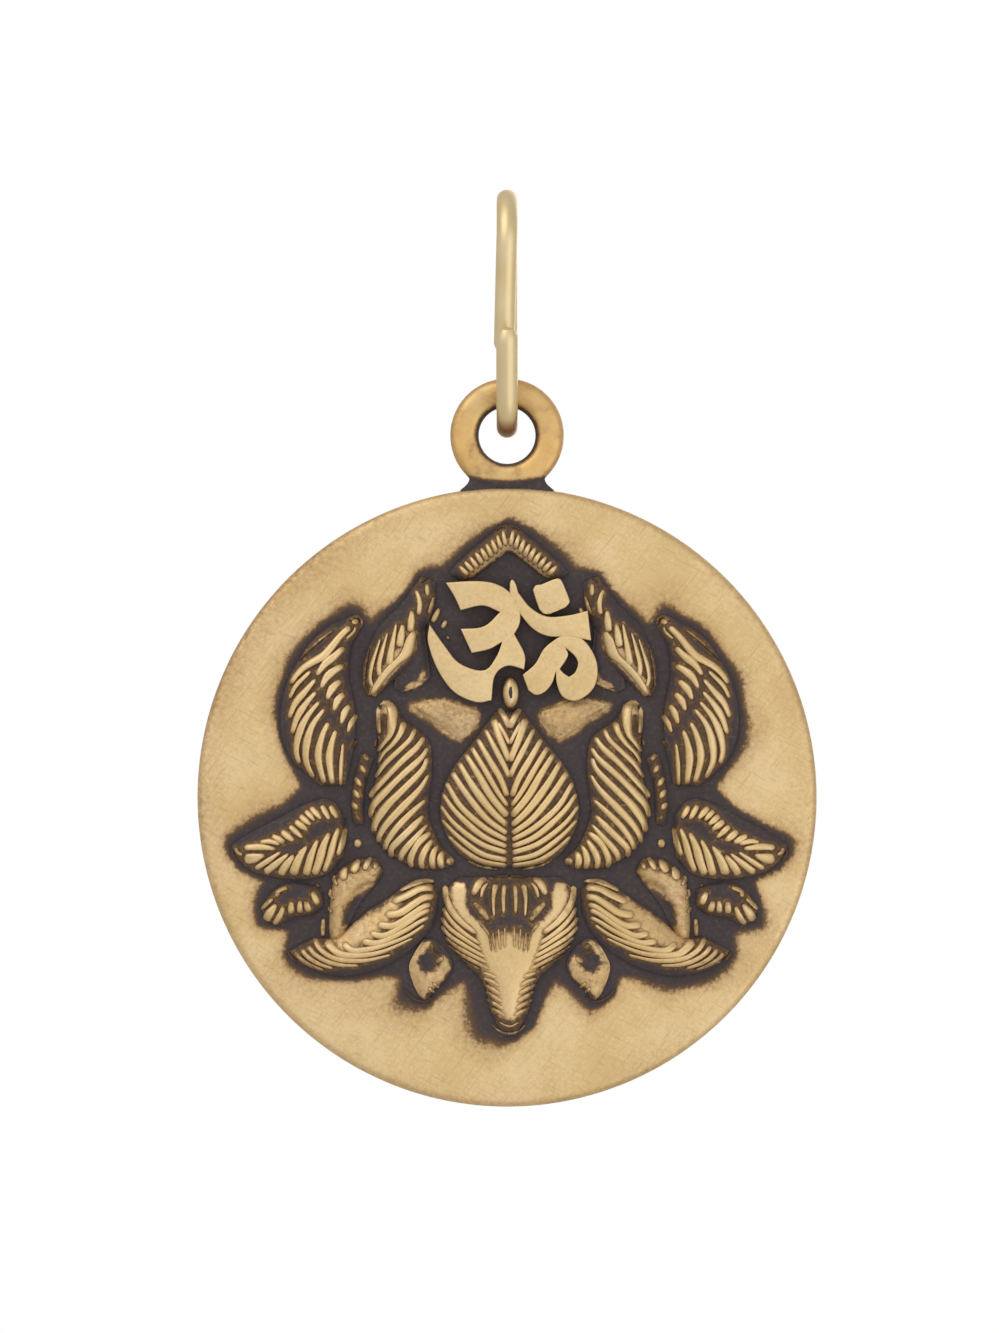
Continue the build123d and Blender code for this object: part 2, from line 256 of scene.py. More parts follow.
SIDE_RIDGES = {
    "centre": [
        ridge(0, (12, 16, 18), (-29, 290), (-10, 262), (12, 220)),
        ridge(0, (14, 10, 10), (-36, 246), (-10, 208), (11, 166)),
        ridge(0, (18, 17, 15), (-46, 258), (-26, 198), (-6, 150), (10, 110)),
        ridge(0, (10, 15, 13), (-73, 224), (-38, 156), (-8, 100), (10, 60)),
        ridge(0, (12, 17, 14), (-98, 192), (-56, 120), (-20, 58), (3, -2)),
        ridge(0, (12, 15, 11), (-118, 166), (-74, 94), (-30, 18), (5, -31)),
        ridge(0, (12, 19, 17), (-137, 144), (-94, 76), (-50, 2), (5, -64)),
        ridge(0, (12, 20, 14), (-159, 118), (-110, 36), (-52, -40), (5, -94)),
        ridge(0, (14, 17, 13), (-181, 86), (-130, 10), (-66, -68), (5, -119)),
        ridge(0, (12, 16, 12), (-199, 52), (-148, -30), (-72, -97), (5, -140)),
        ridge(0, (10, 16, 12), (-211, 16), (-164, -48), (-78, -124), (5, -160)),
        ridge(0, (9, 14, 13), (-217, -24), (-168, -86), (-84, -149), (5, -180)),
        ridge(0, (8, 14, 13), (-214, -68), (-160, -124), (-80, -182), (5, -203)),
        ridge(5, (8, 13, 11), (-193, -122), (-140, -170), (-80, -206), (5, -221)),
        ridge(25, (5, 7, 4), (-132, -202), (-84, -223), (-26, -233)),
    ],
    "inner": [
        ridge(0, (12, 12, 10), (-416, 292), (-415, 246), (-411, 200)),
        ridge(0, (14, 26, 24, 12, 8), (-410, 300), (-388, 302), (-370, 280), (-371, 240), (-378, 202),
              (-398, 174), (-420, 144)),
        ridge(30, (6, 8, 6), (-421, 190), (-424, 176), (-427, 162)),
        ridge(0, (18, 14, 10, 8), (-331, 247), (-343, 208), (-368, 172), (-398, 142), (-419, 106)),
        ridge(0, (12, 13, 14, 8), (-295, 224), (-312, 188), (-350, 150), (-394, 108), (-428, 58)),
        ridge(0, (12, 17, 15, 15, 14), (-265, 198), (-290, 162), (-340, 116), (-390, 64), (-430, 20),
              (-446, -6)),
        ridge(0, (10, 17, 16, 20, 12), (-253, 164), (-278, 126), (-340, 70), (-396, 14), (-432, -28),
              (-443, -70)),
        ridge(0, (12, 16, 18, 22, 14), (-256, 132), (-272, 90), (-330, 30), (-388, -28), (-424, -82),
              (-431, -118)),
        ridge(0, (8, 16, 20, 18, 12), (-251, 76), (-282, 26), (-340, -34), (-388, -86), (-412, -126),
              (-415, -152)),
        ridge(0, (9, 15, 17, 16, 12), (-260, -6), (-312, -53), (-354, -96), (-386, -142), (-396, -175)),
        ridge(0, (9, 18, 18, 18, 12), (-266, -56), (-310, -101), (-350, -140), (-374, -168),
              (-370, -198)),
        ridge(0, (7, 13, 16, 18, 12), (-253, -84), (-292, -126), (-326, -164), (-342, -190),
              (-340, -212)),
        ridge(0, (10, 18, 16, 18, 11), (-242, -110), (-280, -140), (-302, -174), (-312, -206),
              (-303, -232)),
        ridge(0, (9, 17, 18, 11), (-237, -132), (-264, -170), (-277, -206), (-269, -236)),
        ridge(0, (8, 16, 18, 11), (-221, -152), (-236, -176), (-242, -206), (-235, -236)),
        ridge(0, (10, 18, 18, 11), (-205, -172), (-214, -192), (-214, -214), (-205, -233)),
        ridge(0, (20, 21, 18), (-184, -193), (-183, -206), (-180, -220)),
    ],
    "sliver": [
        ridge(15, (6, 12, 6), (-462, 142), (-456, 130), (-446, 118)),
        ridge(10, (6, 12, 6), (-474, 106), (-466, 92), (-454, 78)),
        ridge(5, (6, 13, 6), (-490, 66), (-480, 50), (-468, 34)),
        ridge(0, (6, 14, 6), (-496, 26), (-486, 11), (-474, -4)),
        ridge(0, (6, 14, 6), (-500, -16), (-491, -28), (-480, -40)),
        ridge(45, (4, 8, 4), (-488, -56), (-481, -64), (-474, -72)),
        ridge(0, (14, 18, 12), (-480, -134), (-482, -150), (-484, -164)),
    ],
    "outer": [
        ridge(30, (6, 8, 6), (-510, 568), (-488, 584), (-470, 572), (-469, 553)),
        ridge(5, (10, 14, 10), (-500, 560), (-490, 566), (-480, 560)),
        ridge(15, (6, 8, 6), (-490, 552), (-491, 537), (-506, 521), (-522, 509)),
        ridge(0, (14, 20, 11), (-503, 553), (-537, 520), (-567, 483), (-593, 455), (-620, 440),
              (-653, 420), (-680, 393), (-700, 362)),
        ridge(45, (4, 6, 4), (-557, 541), (-600, 510), (-640, 474), (-674, 438)),
        ridge(0, (9, 21, 12), (-616, 390), (-587, 430), (-553, 457), (-522, 488)),
        ridge(0, (8, 21, 12), (-602, 348), (-582, 386), (-557, 408), (-522, 428)),
        ridge(0, (8, 20, 12), (-582, 312), (-564, 350), (-532, 379)),
        ridge(0, (7, 19, 12), (-560, 276), (-545, 314), (-521, 338)),
        ridge(0, (7, 18, 11), (-536, 234), (-522, 276), (-503, 300)),
        ridge(5, (6, 15, 9), (-515, 206), (-502, 240), (-483, 268)),
        ridge(40, (4, 9, 6), (-498, 158), (-492, 172), (-483, 184)),
        ridge(0, (8, 12, 8), (-630, 410), (-655, 386), (-682, 358), (-703, 315)),
        ridge(0, (8, 18, 10), (-614, 384), (-652, 340), (-683, 303), (-704, 252)),
        ridge(0, (8, 18, 10), (-612, 344), (-652, 297), (-677, 256), (-695, 200)),
        ridge(0, (8, 19, 10), (-602, 312), (-643, 262), (-668, 212), (-679, 152), (-668, 104)),
        ridge(0, (8, 20, 10), (-586, 288), (-626, 234), (-645, 176), (-647, 116), (-622, 58)),
        ridge(0, (10, 19, 12), (-573, 246), (-596, 196), (-608, 128), (-588, 40)),
        ridge(0, (10, 20, 12), (-550, 220), (-566, 170), (-572, 118), (-562, 37)),
        ridge(0, (6, 12, 8), (-528, 178), (-534, 110), (-537, 33)),
    ],
    "upper": [
        ridge(5, (10, 18, 20, 20, 18, 30, 28, 10), (-443, 325), (-416, 365), (-401, 386), (-378, 413),
              (-354, 436), (-325, 464), (-310, 506), (-297, 540)),
        ridge(30, (6, 8, 3), (-446, 326), (-461, 364), (-461, 396), (-456, 428), (-443, 490)),
        ridge(5, (10, 12, 4), (-432, 350), (-442, 380), (-440, 406), (-433, 438), (-407, 516)),
        ridge(0, (14, 13, 4), (-408, 384), (-413, 416), (-408, 450), (-384, 535)),
        ridge(0, (22, 15, 5), (-380, 420), (-377, 446), (-371, 486), (-356, 564)),
        ridge(0, (20, 20, 8), (-347, 480), (-342, 516), (-335, 562)),
        ridge(0, (18, 20, 9), (-312, 530), (-308, 570), (-307, 606)),
        ridge(10, (13, 14, 8), (-286, 584), (-281, 622), (-288, 654), (-298, 672)),
        ridge(20, (10, 13, 8), (-256, 648), (-257, 670), (-259, 690)),
        ridge(50, (4, 7, 4), (-277, 692), (-267, 704), (-254, 707)),
        ridge(15, (9, 10, 6), (-255, 588), (-243, 620), (-235, 650)),
        ridge(0, (12, 16, 8), (-243, 562), (-229, 589), (-217, 613)),
    ],
    "wing": [
        ridge(0, (12, 16, 8), (-571, -24), (-559, -46), (-545, -70)),
        ridge(0, (12, 15, 8), (-600, -22), (-586, -47), (-571, -74)),
        ridge(0, (14, 16, 6), (-635, -29), (-617, -49), (-597, -72)),
        ridge(0, (12, 14, 6), (-653, -40), (-636, -57), (-618, -77)),
        ridge(0, (14, 16, 6), (-670, -56), (-652, -72), (-630, -90)),
        ridge(0, (14, 17, 6), (-685, -74), (-664, -90), (-640, -109)),
        ridge(5, (12, 15, 6), (-704, -89), (-682, -109), (-656, -133)),
        ridge(0, (14, 18, 8), (-729, -106), (-708, -124), (-684, -142)),
        ridge(0, (10, 17, 10), (-760, -121), (-738, -133), (-712, -148)),
        ridge(0, (8, 14, 8), (-800, -145), (-766, -141), (-728, -152)),
        ridge(0, (14, 18, 8), (-852, -162), (-798, -159), (-742, -166)),
        ridge(0, (28, 24, 6), (-850, -198), (-818, -196), (-778, -184)),
        ridge(0, (12, 14, 6), (-816, -233), (-778, -209), (-726, -173)),
        ridge(0, (18, 17, 6), (-786, -246), (-754, -222), (-700, -178)),
        ridge(0, (20, 20, 8), (-732, -256), (-718, -227), (-684, -182)),
        ridge(0, (24, 21, 7), (-690, -256), (-684, -230), (-668, -192), (-642, -152)),
        ridge(0, (20, 19, 8), (-650, -257), (-643, -230), (-630, -184), (-608, -132)),
        ridge(0, (18, 22, 10), (-624, -254), (-607, -210), (-592, -158), (-570, -108)),
        ridge(0, (12, 18, 10), (-592, -245), (-572, -194), (-558, -142), (-542, -94)),
        ridge(0, (12, 16, 10), (-548, -192), (-536, -162), (-527, -128), (-520, -94)),
        ridge(35, (5, 8, 5), (-676, -180), (-660, -170), (-644, -160)),
        ridge(30, (6, 9, 6), (-876, -160), (-868, -178), (-852, -186)),
        ridge(45, (4, 8, 4), (-888, -168), (-882, -190), (-868, -206)),
    ],
    "hand": [
        ridge(10, (8, 12, 8), (-794, -364), (-776, -344), (-752, -324)),
        ridge(10, (10, 12, 10), (-748, -310), (-728, -297), (-705, -290)),
        ridge(20, (10, 14, 10), (-746, -320), (-740, -312), (-733, -308)),
        ridge(0, (22, 23, 8), (-780, -402), (-766, -375), (-741, -341)),
        ridge(0, (12, 18, 10), (-755, -413), (-733, -384), (-719, -348)),
        ridge(0, (18, 18, 10), (-696, -377), (-696, -355), (-694, -333)),
        ridge(0, (16, 16, 8), (-668, -375), (-668, -350), (-666, -329)),
        ridge(0, (16, 18, 10), (-636, -371), (-644, -351), (-649, -331)),
        ridge(0, (16, 18, 10), (-609, -347), (-619, -323), (-629, -301)),
        ridge(35, (6, 8, 6), (-606, -291), (-611, -285), (-617, -279)),
    ],
    "curled": [
        ridge(0, (8, 14, 10), (-350, -304), (-310, -283), (-271, -270), (-230, -272)),
        ridge(0, (18, 19, 16), (-374, -338), (-322, -315), (-280, -294), (-232, -291)),
        ridge(0, (22, 20, 16), (-396, -378), (-345, -371), (-301, -343), (-267, -323), (-232, -320)),
        ridge(0, (20, 17, 13), (-420, -408), (-365, -412), (-309, -378), (-271, -352), (-240, -344)),
        ridge(0, (18, 15, 12), (-444, -436), (-394, -444), (-331, -410), (-280, -375), (-245, -360)),
        ridge(0, (18, 14, 10), (-470, -462), (-412, -467), (-331, -430), (-285, -402), (-248, -384)),
        ridge(5, (20, 12, 8), (-532, -466), (-498, -492), (-450, -489), (-390, -474), (-320, -446),
              (-262, -408)),
        ridge(10, (24, 14, 6), (-586, -456), (-562, -486), (-530, -506), (-465, -508), (-395, -494),
              (-300, -452)),
        ridge(15, (14, 14, 6), (-624, -448), (-604, -486), (-566, -514), (-518, -525), (-450, -524),
              (-370, -506)),
        ridge(20, (12, 13, 6), (-644, -476), (-618, -506), (-578, -529), (-530, -540), (-474, -541)),
        ridge(25, (12, 12, 6), (-664, -485), (-642, -514), (-604, -537), (-556, -552)),
        ridge(30, (10, 10, 5), (-686, -497), (-663, -522), (-630, -542), (-586, -558)),
        ridge(45, (6, 8, 4), (-706, -497), (-695, -517), (-674, -532)),
    ],
    "fold": [
        ridge(20, (10, 14, 8), (-426, -233), (-423, -220), (-420, -210)),
        ridge(5, (14, 18, 9), (-461, -236), (-451, -212), (-436, -192)),
        ridge(5, (20, 25, 10), (-500, -244), (-488, -220), (-474, -198)),
        ridge(5, (20, 25, 10), (-530, -268), (-528, -246), (-518, -222)),
        ridge(5, (6, 12, 8), (-546, -284), (-558, -268), (-555, -249)),
        ridge(5, (6, 11, 6), (-560, -331), (-571, -314), (-568, -294)),
        ridge(10, (8, 10, 5), (-566, -374), (-572, -364), (-578, -353)),
        ridge(10, (10, 14, 10), (-592, -388), (-594, -420), (-595, -451)),
    ],
    "hook": [
        ridge(10, (10, 15, 10), (-230, -532), (-216, -523), (-204, -515)),
        ridge(10, (6, 10, 6), (-240, -598), (-228, -606), (-218, -616)),
        ridge(10, (6, 10, 6), (-254, -612), (-244, -622), (-234, -630)),
        ridge(35, (12, 16, 8), (-246, -470), (-243, -482), (-247, -496)),
        ridge(50, (5, 8, 5), (-336, -614), (-305, -648), (-268, -659), (-232, -640)),
    ],
    "bottom": [
        ridge(0, (16, 20, 12), (-200, -280), (-196, -326), (-176, -368), (-142, -406), (-96, -440)),
        ridge(0, (10, 14, 10), (-210, -352), (-182, -396), (-144, -433), (-84, -474)),
        ridge(0, (10, 13, 10), (-215, -384), (-186, -421), (-144, -452), (-78, -495)),
        ridge(0, (10, 13, 10), (-215, -412), (-186, -445), (-139, -476), (-68, -516)),
        ridge(15, (8, 12, 10), (-205, -446), (-173, -474), (-127, -501), (-62, -534)),
        ridge(25, (6, 11, 10), (-194, -474), (-152, -504), (-110, -527), (-54, -555)),
        ridge(40, (5, 8, 6), (-172, -504), (-127, -533), (-84, -556)),
        ridge(20, (6, 11, 10), (-80, -564), (-56, -572), (-34, -582)),
        ridge(20, (6, 11, 10), (-82, -582), (-52, -592), (-24, -610)),
        ridge(20, (6, 11, 10), (-80, -602), (-50, -616), (-20, -636)),
        ridge(20, (6, 11, 10), (-74, -624), (-46, -640), (-14, -660)),
        ridge(25, (6, 11, 10), (-68, -650), (-42, -664), (-10, -682)),
        ridge(30, (6, 10, 8), (-60, -676), (-34, -688), (-4, -704)),
        ridge(50, (10, 7, 4), (-90, -404), (-60, -440), (-50, -500)),
        ridge(10, (12, 22, 12), (-62, -260), (-90, -276), (-112, -318)),
        ridge(10, (6, 11, 6), (-60, -272), (-77, -294), (-85, -326)),
        ridge(0, (18, 10, 6), (-35, -274), (-44, -323), (-42, -388)),
        ridge(0, (13, 11, 8), (-8, -277), (-12, -323), (-11, -378)),
        ridge(45, (10, 18, 10), (-112, -336), (-84, -362), (-56, -400)),
        ridge(45, (5, 8, 8), (-48, -258), (-20, -255), (8, -254)),
        ridge(30, (3, 8, 6), (-7, -414), (-8, -446), (-8, -486)),
        ridge(30, (3, 8, 6), (-28, -418), (-26, -450), (-22, -492)),
        ridge(35, (3, 7, 5), (-46, -430), (-43, -462), (-36, -500)),
    ],
    "roof": [
        ridge(12, (7, 13, 13), (-156, 748), (-139, 730), (-122, 714)),
        ridge(5, (7, 13, 14), (-139, 762), (-123, 744), (-107, 725)),
        ridge(5, (7, 13, 14), (-121, 777), (-107, 757), (-92, 737)),
        ridge(0, (7, 14, 15), (-104, 791), (-90, 771), (-78, 749)),
        ridge(0, (7, 14, 15), (-86, 805), (-74, 784), (-62, 760)),
        ridge(0, (7, 13, 15), (-69, 819), (-58, 797), (-47, 772)),
        ridge(0, (7, 13, 14), (-51, 833), (-42, 810), (-32, 784)),
        ridge(5, (7, 12, 14), (-33, 848), (-26, 824), (-18, 797)),
        ridge(10, (7, 12, 12), (-14, 862), (-10, 838), (-4, 808)),
        ridge(45, (4, 6, 4), (-36, 861), (-21, 872), (-6, 871)),
    ],
}

# Each petal's ridges are this much fuller than the lit crowns that were measured.
FULLER = {"centre": 1.22, "inner": 1.16, "outer": 1.22, "upper": 1.12, "wing": 1.20, "hand": 1.10,
          "curled": 1.14, "fold": 1.00, "hook": 1.00, "bottom": 1.10, "roof": 1.10, "sliver": 1.26}

# These have no twin: two beside the sign, two at the foot, and the bud's.
SINGLE_RIDGES = [
    ridge(0, (10, 14, 10), (-211, 544), (-202, 560), (-196, 572)),
    ridge(25, (8, 10, 8), (-194, 508), (-191, 514), (-188, 520)),
    ridge(20, (4, 7, 7, 4), (-54, -728), (-28, -752), (6, -762), (40, -752), (64, -728)),
    ridge(30, (4, 6, 4), (-30, -722), (8, -738), (42, -722)),
    ridge(0, (12, 34, 44, 44, 34, 14), (12, 388), (12, 338), (12, 284)),
]

# The slit along the bud's middle.
BUD_SLIT = ridge(100, (6, 12, 6), (13, 362), (11, 338), (14, 314))

# A ridge's section, from side to side. Out is a share of its half width, height is one of its
# height, and patina is how dark it is there.
Shoulder = namedtuple("Shoulder", "out height patina")
RIDGE_SECTION = [
    Shoulder(-1.00, -0.60, 0.76),
    Shoulder(-0.93, 0.25, 0.60),
    Shoulder(-0.80, 0.74, 0.12),
    Shoulder(-0.45, 0.97, 0.00),
    Shoulder(0.00, 1.00, 0.00),
    Shoulder(0.45, 0.97, 0.00),
    Shoulder(0.80, 0.74, 0.12),
    Shoulder(0.93, 0.25, 0.60),
    Shoulder(1.00, -0.60, 0.76),
]
# The foot of a ridge is wider than its bright crown.
FOOT_TO_CROWN = 1.22

# Bright places on the petals' own surface. Tarnish is how dark each stays, and soft is how far it
# fades out past its outline. Each has a mirrored twin.
Patch = namedtuple("Patch", "tarnish soft outline")


def patch(tarnish, soft, *outline):
    return Patch(tarnish / 100, soft / 1000, spots(*outline))


PATCHES = {
    "back": patch(30, 30, (-308, 292), (-270, 304), (-200, 308), (-105, 276), (-96, 250), (-122, 214),
                  (-155, 190), (-196, 213), (-250, 256)),
    "streak": patch(30, 12, (-322, 348), (-304, 352), (-284, 364), (-268, 384), (-264, 402), (-270, 406),
                    (-278, 390), (-292, 374), (-310, 364), (-322, 358)),
    # The fold's and the curled petal's wide soft edges fade into the dark bowl between them, whose
    # darkness is partly patina and partly painted shade.
    "fold": patch(28, 34, (-424, -240), (-470, -252), (-510, -266), (-545, -290), (-564, -318),
                  (-564, -352), (-570, -378), (-571, -425), (-556, -440), (-542, -420), (-544, -386),
                  (-534, -356), (-520, -326), (-500, -312), (-472, -296), (-446, -274)),
    "curled": patch(24.5, 36, (-544, -460), (-510, -434), (-482, -416), (-456, -398), (-428, -382),
                    (-400, -366), (-366, -340), (-372, -362), (-400, -392), (-420, -413), (-447, -447),
                    (-481, -456), (-510, -474), (-535, -470)),
    "hook": patch(26, 14, (-254, -466), (-282, -482), (-306, -512), (-319, -532), (-316, -562),
                  (-302, -602), (-287, -632), (-272, -642), (-260, -622), (-240, -606), (-208, -582),
                  (-188, -546), (-198, -520), (-212, -536), (-204, -550), (-226, -554), (-228, -572),
                  (-246, -564), (-264, -580), (-272, -564), (-292, -568), (-286, -548), (-304, -532),
                  (-288, -522), (-296, -502), (-272, -500), (-266, -484)),
    "bottom": patch(3, 19, (-72, -442), (-92, -412), (-127, -382), (-140, -345), (-140, -310),
                    (-144, -284), (-164, -282), (-168, -312), (-162, -344), (-144, -376), (-114, -406),
                    (-90, -428), (-84, -470), (-70, -520), (-56, -500)),
    "tail": patch(6, 42, (10, -462), (-30, -478), (-60, -480), (-66, -520), (-46, -560), (-30, -604),
                  (-14, -648), (-2, -676), (10, -690)),
    "upper": patch(26, 8, (-440, 322), (-410, 356), (-366, 406), (-326, 446), (-300, 482), (-294, 534),
                   (-312, 530), (-328, 500), (-352, 474), (-376, 446), (-398, 412), (-424, 376),
                   (-440, 345)),
    "roof": patch(32, 8, (-126, 716), (-92, 744), (-48, 784), (3, 822), (12, 822), (12, 798), (3, 800),
                  (-42, 768), (-85, 732), (-116, 708)),
    "lip": patch(0, 8, (-420, 270), (-420, 292), (-402, 306), (-378, 304), (-360, 284), (-358, 262),
                 (-374, 258), (-388, 272), (-404, 274)),
}

# Hollows pressed into the petals: place, reach across and up, and depth as a percent of the petal
# height. Each has a mirrored twin.
Hollow = namedtuple("Hollow", "across up reach_across reach_up depth")


def hollow(across, up, reach_across, reach_up, depth):
    return Hollow(*thousandths((across, up, reach_across, reach_up)), depth / 100)


HOLLOWS = [
    hollow(8, -325, 120, 110, 42),
    hollow(-455, -315, 60, 50, 35),
    hollow(-500, -365, 45, 45, 35),
    hollow(-246, -522, 40, 46, 42),
    hollow(-394, 236, 18, 45, 20),
    hollow(-680, -312, 50, 26, 20),
    hollow(-640, -120, 60, 30, 20),
    hollow(-580, -100, 50, 26, 20),
]

# Outline of the dark ground between the petals, left of the flower's line.
GROUND = spots((3, 884), (-56, 852), (-120, 794), (-200, 722), (-262, 716), (-340, 640), (-420, 545),
               (-470, 540), (-500, 590), (-590, 545), (-680, 415), (-724, 250), (-690, 110), (-640, 30),
               (-720, -50), (-880, -140), (-860, -220), (-770, -265), (-790, -330), (-790, -400),
               (-690, -420), (-705, -505), (-620, -560), (-520, -578), (-400, -555), (-330, -560),
               (-320, -630), (-262, -660), (-200, -600), (-130, -560), (-90, -640), (-60, -735),
               (2, -765))

# Each stroke of the sign is a closed outline of runs that meet at its corners.
SIGN_STROKES = {
    "three": [
        spots((-198, 692), (-100, 697), (-36, 688), (10, 658), (40, 600), (40, 558), (23, 527)),
        spots((23, 527), (57, 460), (55, 412)),
        spots((55, 412), (0, 424), (-40, 391), (-50, 313)),
        spots((-50, 313), (-100, 307), (-170, 339), (-222, 408), (-255, 500), (-250, 558)),
        spots((-250, 558), (-203, 491), (-153, 432), (-75, 409), (-35, 453), (-16, 501)),
        spots((-16, 501), (-57, 478), (-114, 465)),
        spots((-114, 465), (-150, 543)),
        spots((-150, 543), (-75, 551), (-23, 597)),
        spots((-23, 597), (-79, 618), (-150, 603)),
        spots((-150, 603), (-170, 647), (-198, 692)),
    ],
    "arm": [
        spots((8, 640), (9, 690), (17, 702), (27, 690), (36, 660)),
        spots((36, 660), (75, 612), (129, 583), (200, 587), (260, 602)),
        spots((260, 602), (271, 505)),
        spots((271, 505), (200, 518), (133, 519), (81, 545), (30, 605)),
        spots((30, 605), (8, 640)),
    ],
    "loop": [
        spots((50, 395), (90, 430), (118, 478), (155, 509), (200, 535)),
        spots((200, 535), (255, 499), (290, 430), (281, 356), (229, 313), (181, 322), (160, 365),
              (157, 404)),
        spots((157, 404), (144, 366), (120, 339), (92, 330), (68, 345)),
        spots((68, 345), (50, 395)),
    ],
    "dot": [
        spots((83, 668), (92, 683), (110, 686)),
        spots((110, 686), (152, 703), (170, 704), (180, 690)),
        spots((180, 690), (200, 640), (200, 626), (188, 612)),
        spots((188, 612), (140, 592), (118, 592), (104, 606)),
        spots((104, 606), (94, 632), (83, 668)),
    ],
}

# The hole in the sign's loop.
LOOP_HOLE = [
    spots((188, 482), (218, 455), (228, 430), (218, 402), (200, 389)),
    spots((200, 389), (183, 400), (170, 414)),
    spots((170, 414), (190, 443), (197, 463), (188, 482)),
]

# How high each stroke stands, as a share of the sign's height.
SIGN_TOPS = {"three": 1.00, "arm": 0.975, "loop": 0.95, "dot": 1.00}


# Sizes and colours that the panel shows

def length(name, description, millimetres):
    return bpy.props.FloatProperty(name=name, description=description, default=millimetres * MM,
                                   unit="LENGTH")


def colour(name, description, hex_colour):
    return bpy.props.StringProperty(name=name, description=description, default=hex_colour)


class CharmSizes(bpy.types.PropertyGroup):
    plate_height: length("Plate height", "Height of the highest petal below its ridges", 0.62)
    ridge_height: length("Ridge height", "Height of a petal's ridges over its plate", 0.15)
    sign_height: length("Sign height", "Height of the sign over the disc", 0.60)
    edge_rounding: length("Edge rounding", "Rounding of the disc's rim", 0.32)
    disc_step: length("Disc step", "Spacing of the rings of faces on the disc's front", 0.16)
    plate_step: length("Plate step", "Spacing of the faces of a petal's plate", 0.12)
    smudge_width: length("Smudge width", "How far the patina spreads from the lotus", 0.80)


class CharmColours(bpy.types.PropertyGroup):
    brass: colour("Brass", "Polished brass of the disc and the crowns", "#D5B985")
    brass_light: colour("Light brass", "Brass where it is rubbed most", "#E1C79A")
    brown: colour("Brown patina", "Thin patina in narrow grooves", "#573A1B")
    patina: colour("Dark patina", "Thick patina in wide hollows", "#3F3638")
    eyelet: colour("Eyelet brass", "Warmer brass of the eyelet", "#DDB473")
    wire: colour("Bail brass", "Pale plating of the bail's wire", "#DAC497")


def sizes():
    return bpy.context.scene.charm_sizes


def colours():
    return bpy.context.scene.charm_colours


# Helpers for places and smooth lines

def place(across, up):
    """A point on the disc's front, from shares of its radius."""
    return Vector((across * RADIUS, FRONT_Y, DISC_Z + up * RADIUS))


def places(path):
    return [place(across, up) for across, up in path]


def twin(path, axis=FLOWER_AXIS):
    """The same path on the other side of the flower's line."""
    return [(2 * axis - across, up) for across, up in path]


def with_ends(points):
    """The points with one more past each end, for a smooth line through them all."""
    return [points[0] * 2 - points[1], *points, points[-1] * 2 - points[-2]]


def curve_point(knots, t):
    """A point of a smooth line, from the second (t 0) to the third (t 1) of four knots."""
    before, start, end, after = knots
    return 0.5 * (2 * start + (end - before) * t
                  + (2 * before - 5 * start + 4 * end - after) * t * t
                  + (3 * start - before - 3 * end + after) * t * t * t)


def smooth_line(points, count):
    """Points spaced evenly by length along a smooth line through the given ones."""
    knots = with_ends(points)
    fine = [curve_point(knots[i:i + 4], step / 12)
            for i in range(len(points) - 1) for step in range(12)]
    fine.append(points[-1].copy())
    along = lengths_along(fine)
    line = []
    spot = 0
    for number in range(count):
        reach = along[-1] * number / (count - 1)
        while spot < len(along) - 2 and along[spot + 1] < reach:
            spot += 1
        room = max(along[spot + 1] - along[spot], 1e-12)
        line.append(fine[spot].lerp(fine[spot + 1], min(1.0, (reach - along[spot]) / room)))
    return line


def rows_line(points, count):
    """Points at even shares of the rows along a smooth line through one point of each row."""
    knots = with_ends(points)
    line = []
    for number in range(count):
        share = number / (count - 1) * (len(points) - 1)
        spot = min(len(points) - 2, int(share))
        line.append(curve_point(knots[spot:spot + 4], share - spot))
    return line


def lengths_along(line):
    """How far along a line each of its points is."""
    along = [0.0]
    for first, second in zip(line, line[1:]):
        along.append(along[-1] + (second - first).length)
    return along


def between(values, share):
    """A value at a share of the way along evenly spaced ones."""
    spot = min(len(values) - 2, int(share * (len(values) - 1)))
    part = share * (len(values) - 1) - spot
    return values[spot] + (values[spot + 1] - values[spot]) * part


def step_up(value, low, high):
    """A smooth rise from 0 at the low value to 1 at the high one."""
    part = min(1.0, max(0.0, (value - low) / (high - low)))
    return part * part * (3 - 2 * part)


# Helpers for meshes and pieces

def skin(mesh, rings):
    """Faces between rings of points, and one over each end."""
    for first, second in zip(rings, rings[1:]):
        for j in range(len(first)):
            k = (j + 1) % len(first)
            mesh.faces.new((first[j], first[k], second[k], second[j]))
    mesh.faces.new(rings[0])
    mesh.faces.new(reversed(rings[-1]))


def new_piece(name, mesh_builder):
    """A piece from a bmesh, which is then done with."""
    mesh = bpy.data.meshes.new(name)
    mesh_builder.to_mesh(mesh)
    mesh_builder.free()
    piece = bpy.data.objects.new(name, mesh)
    bpy.context.collection.objects.link(piece)
    return piece


def set_patina_and_shade(piece, values):
    """How dark each point is, from 0 for rubbed brass to 1 for thick oxide; at the disc's rim and the
    eyelet's neck part of this darkness is painted shade.
    """
    layer = piece.data.attributes.get("patina")
    if layer is None:
        layer = piece.data.attributes.new("patina", "FLOAT", "POINT")
    layer.data.foreach_set("value", values)


def only(piece):
    """Selects one piece alone."""
    bpy.ops.object.select_all(action="DESELECT")
    piece.select_set(True)
    bpy.context.view_layer.objects.active = piece


def edit_all(piece, operator, **settings):
    """Runs one mesh operator on the whole of a piece."""
    only(piece)
    bpy.ops.object.mode_set(mode="EDIT")
    bpy.ops.mesh.select_all(action="SELECT")
    operator(**settings)
    bpy.ops.object.mode_set(mode="OBJECT")


def join(pieces, name):
    """One named piece from several."""
    only(pieces[0])
    for piece in pieces:
        piece.select_set(True)
    bpy.ops.object.join()
    pieces[0].name = name
    pieces[0].data.name = name
    return pieces[0]


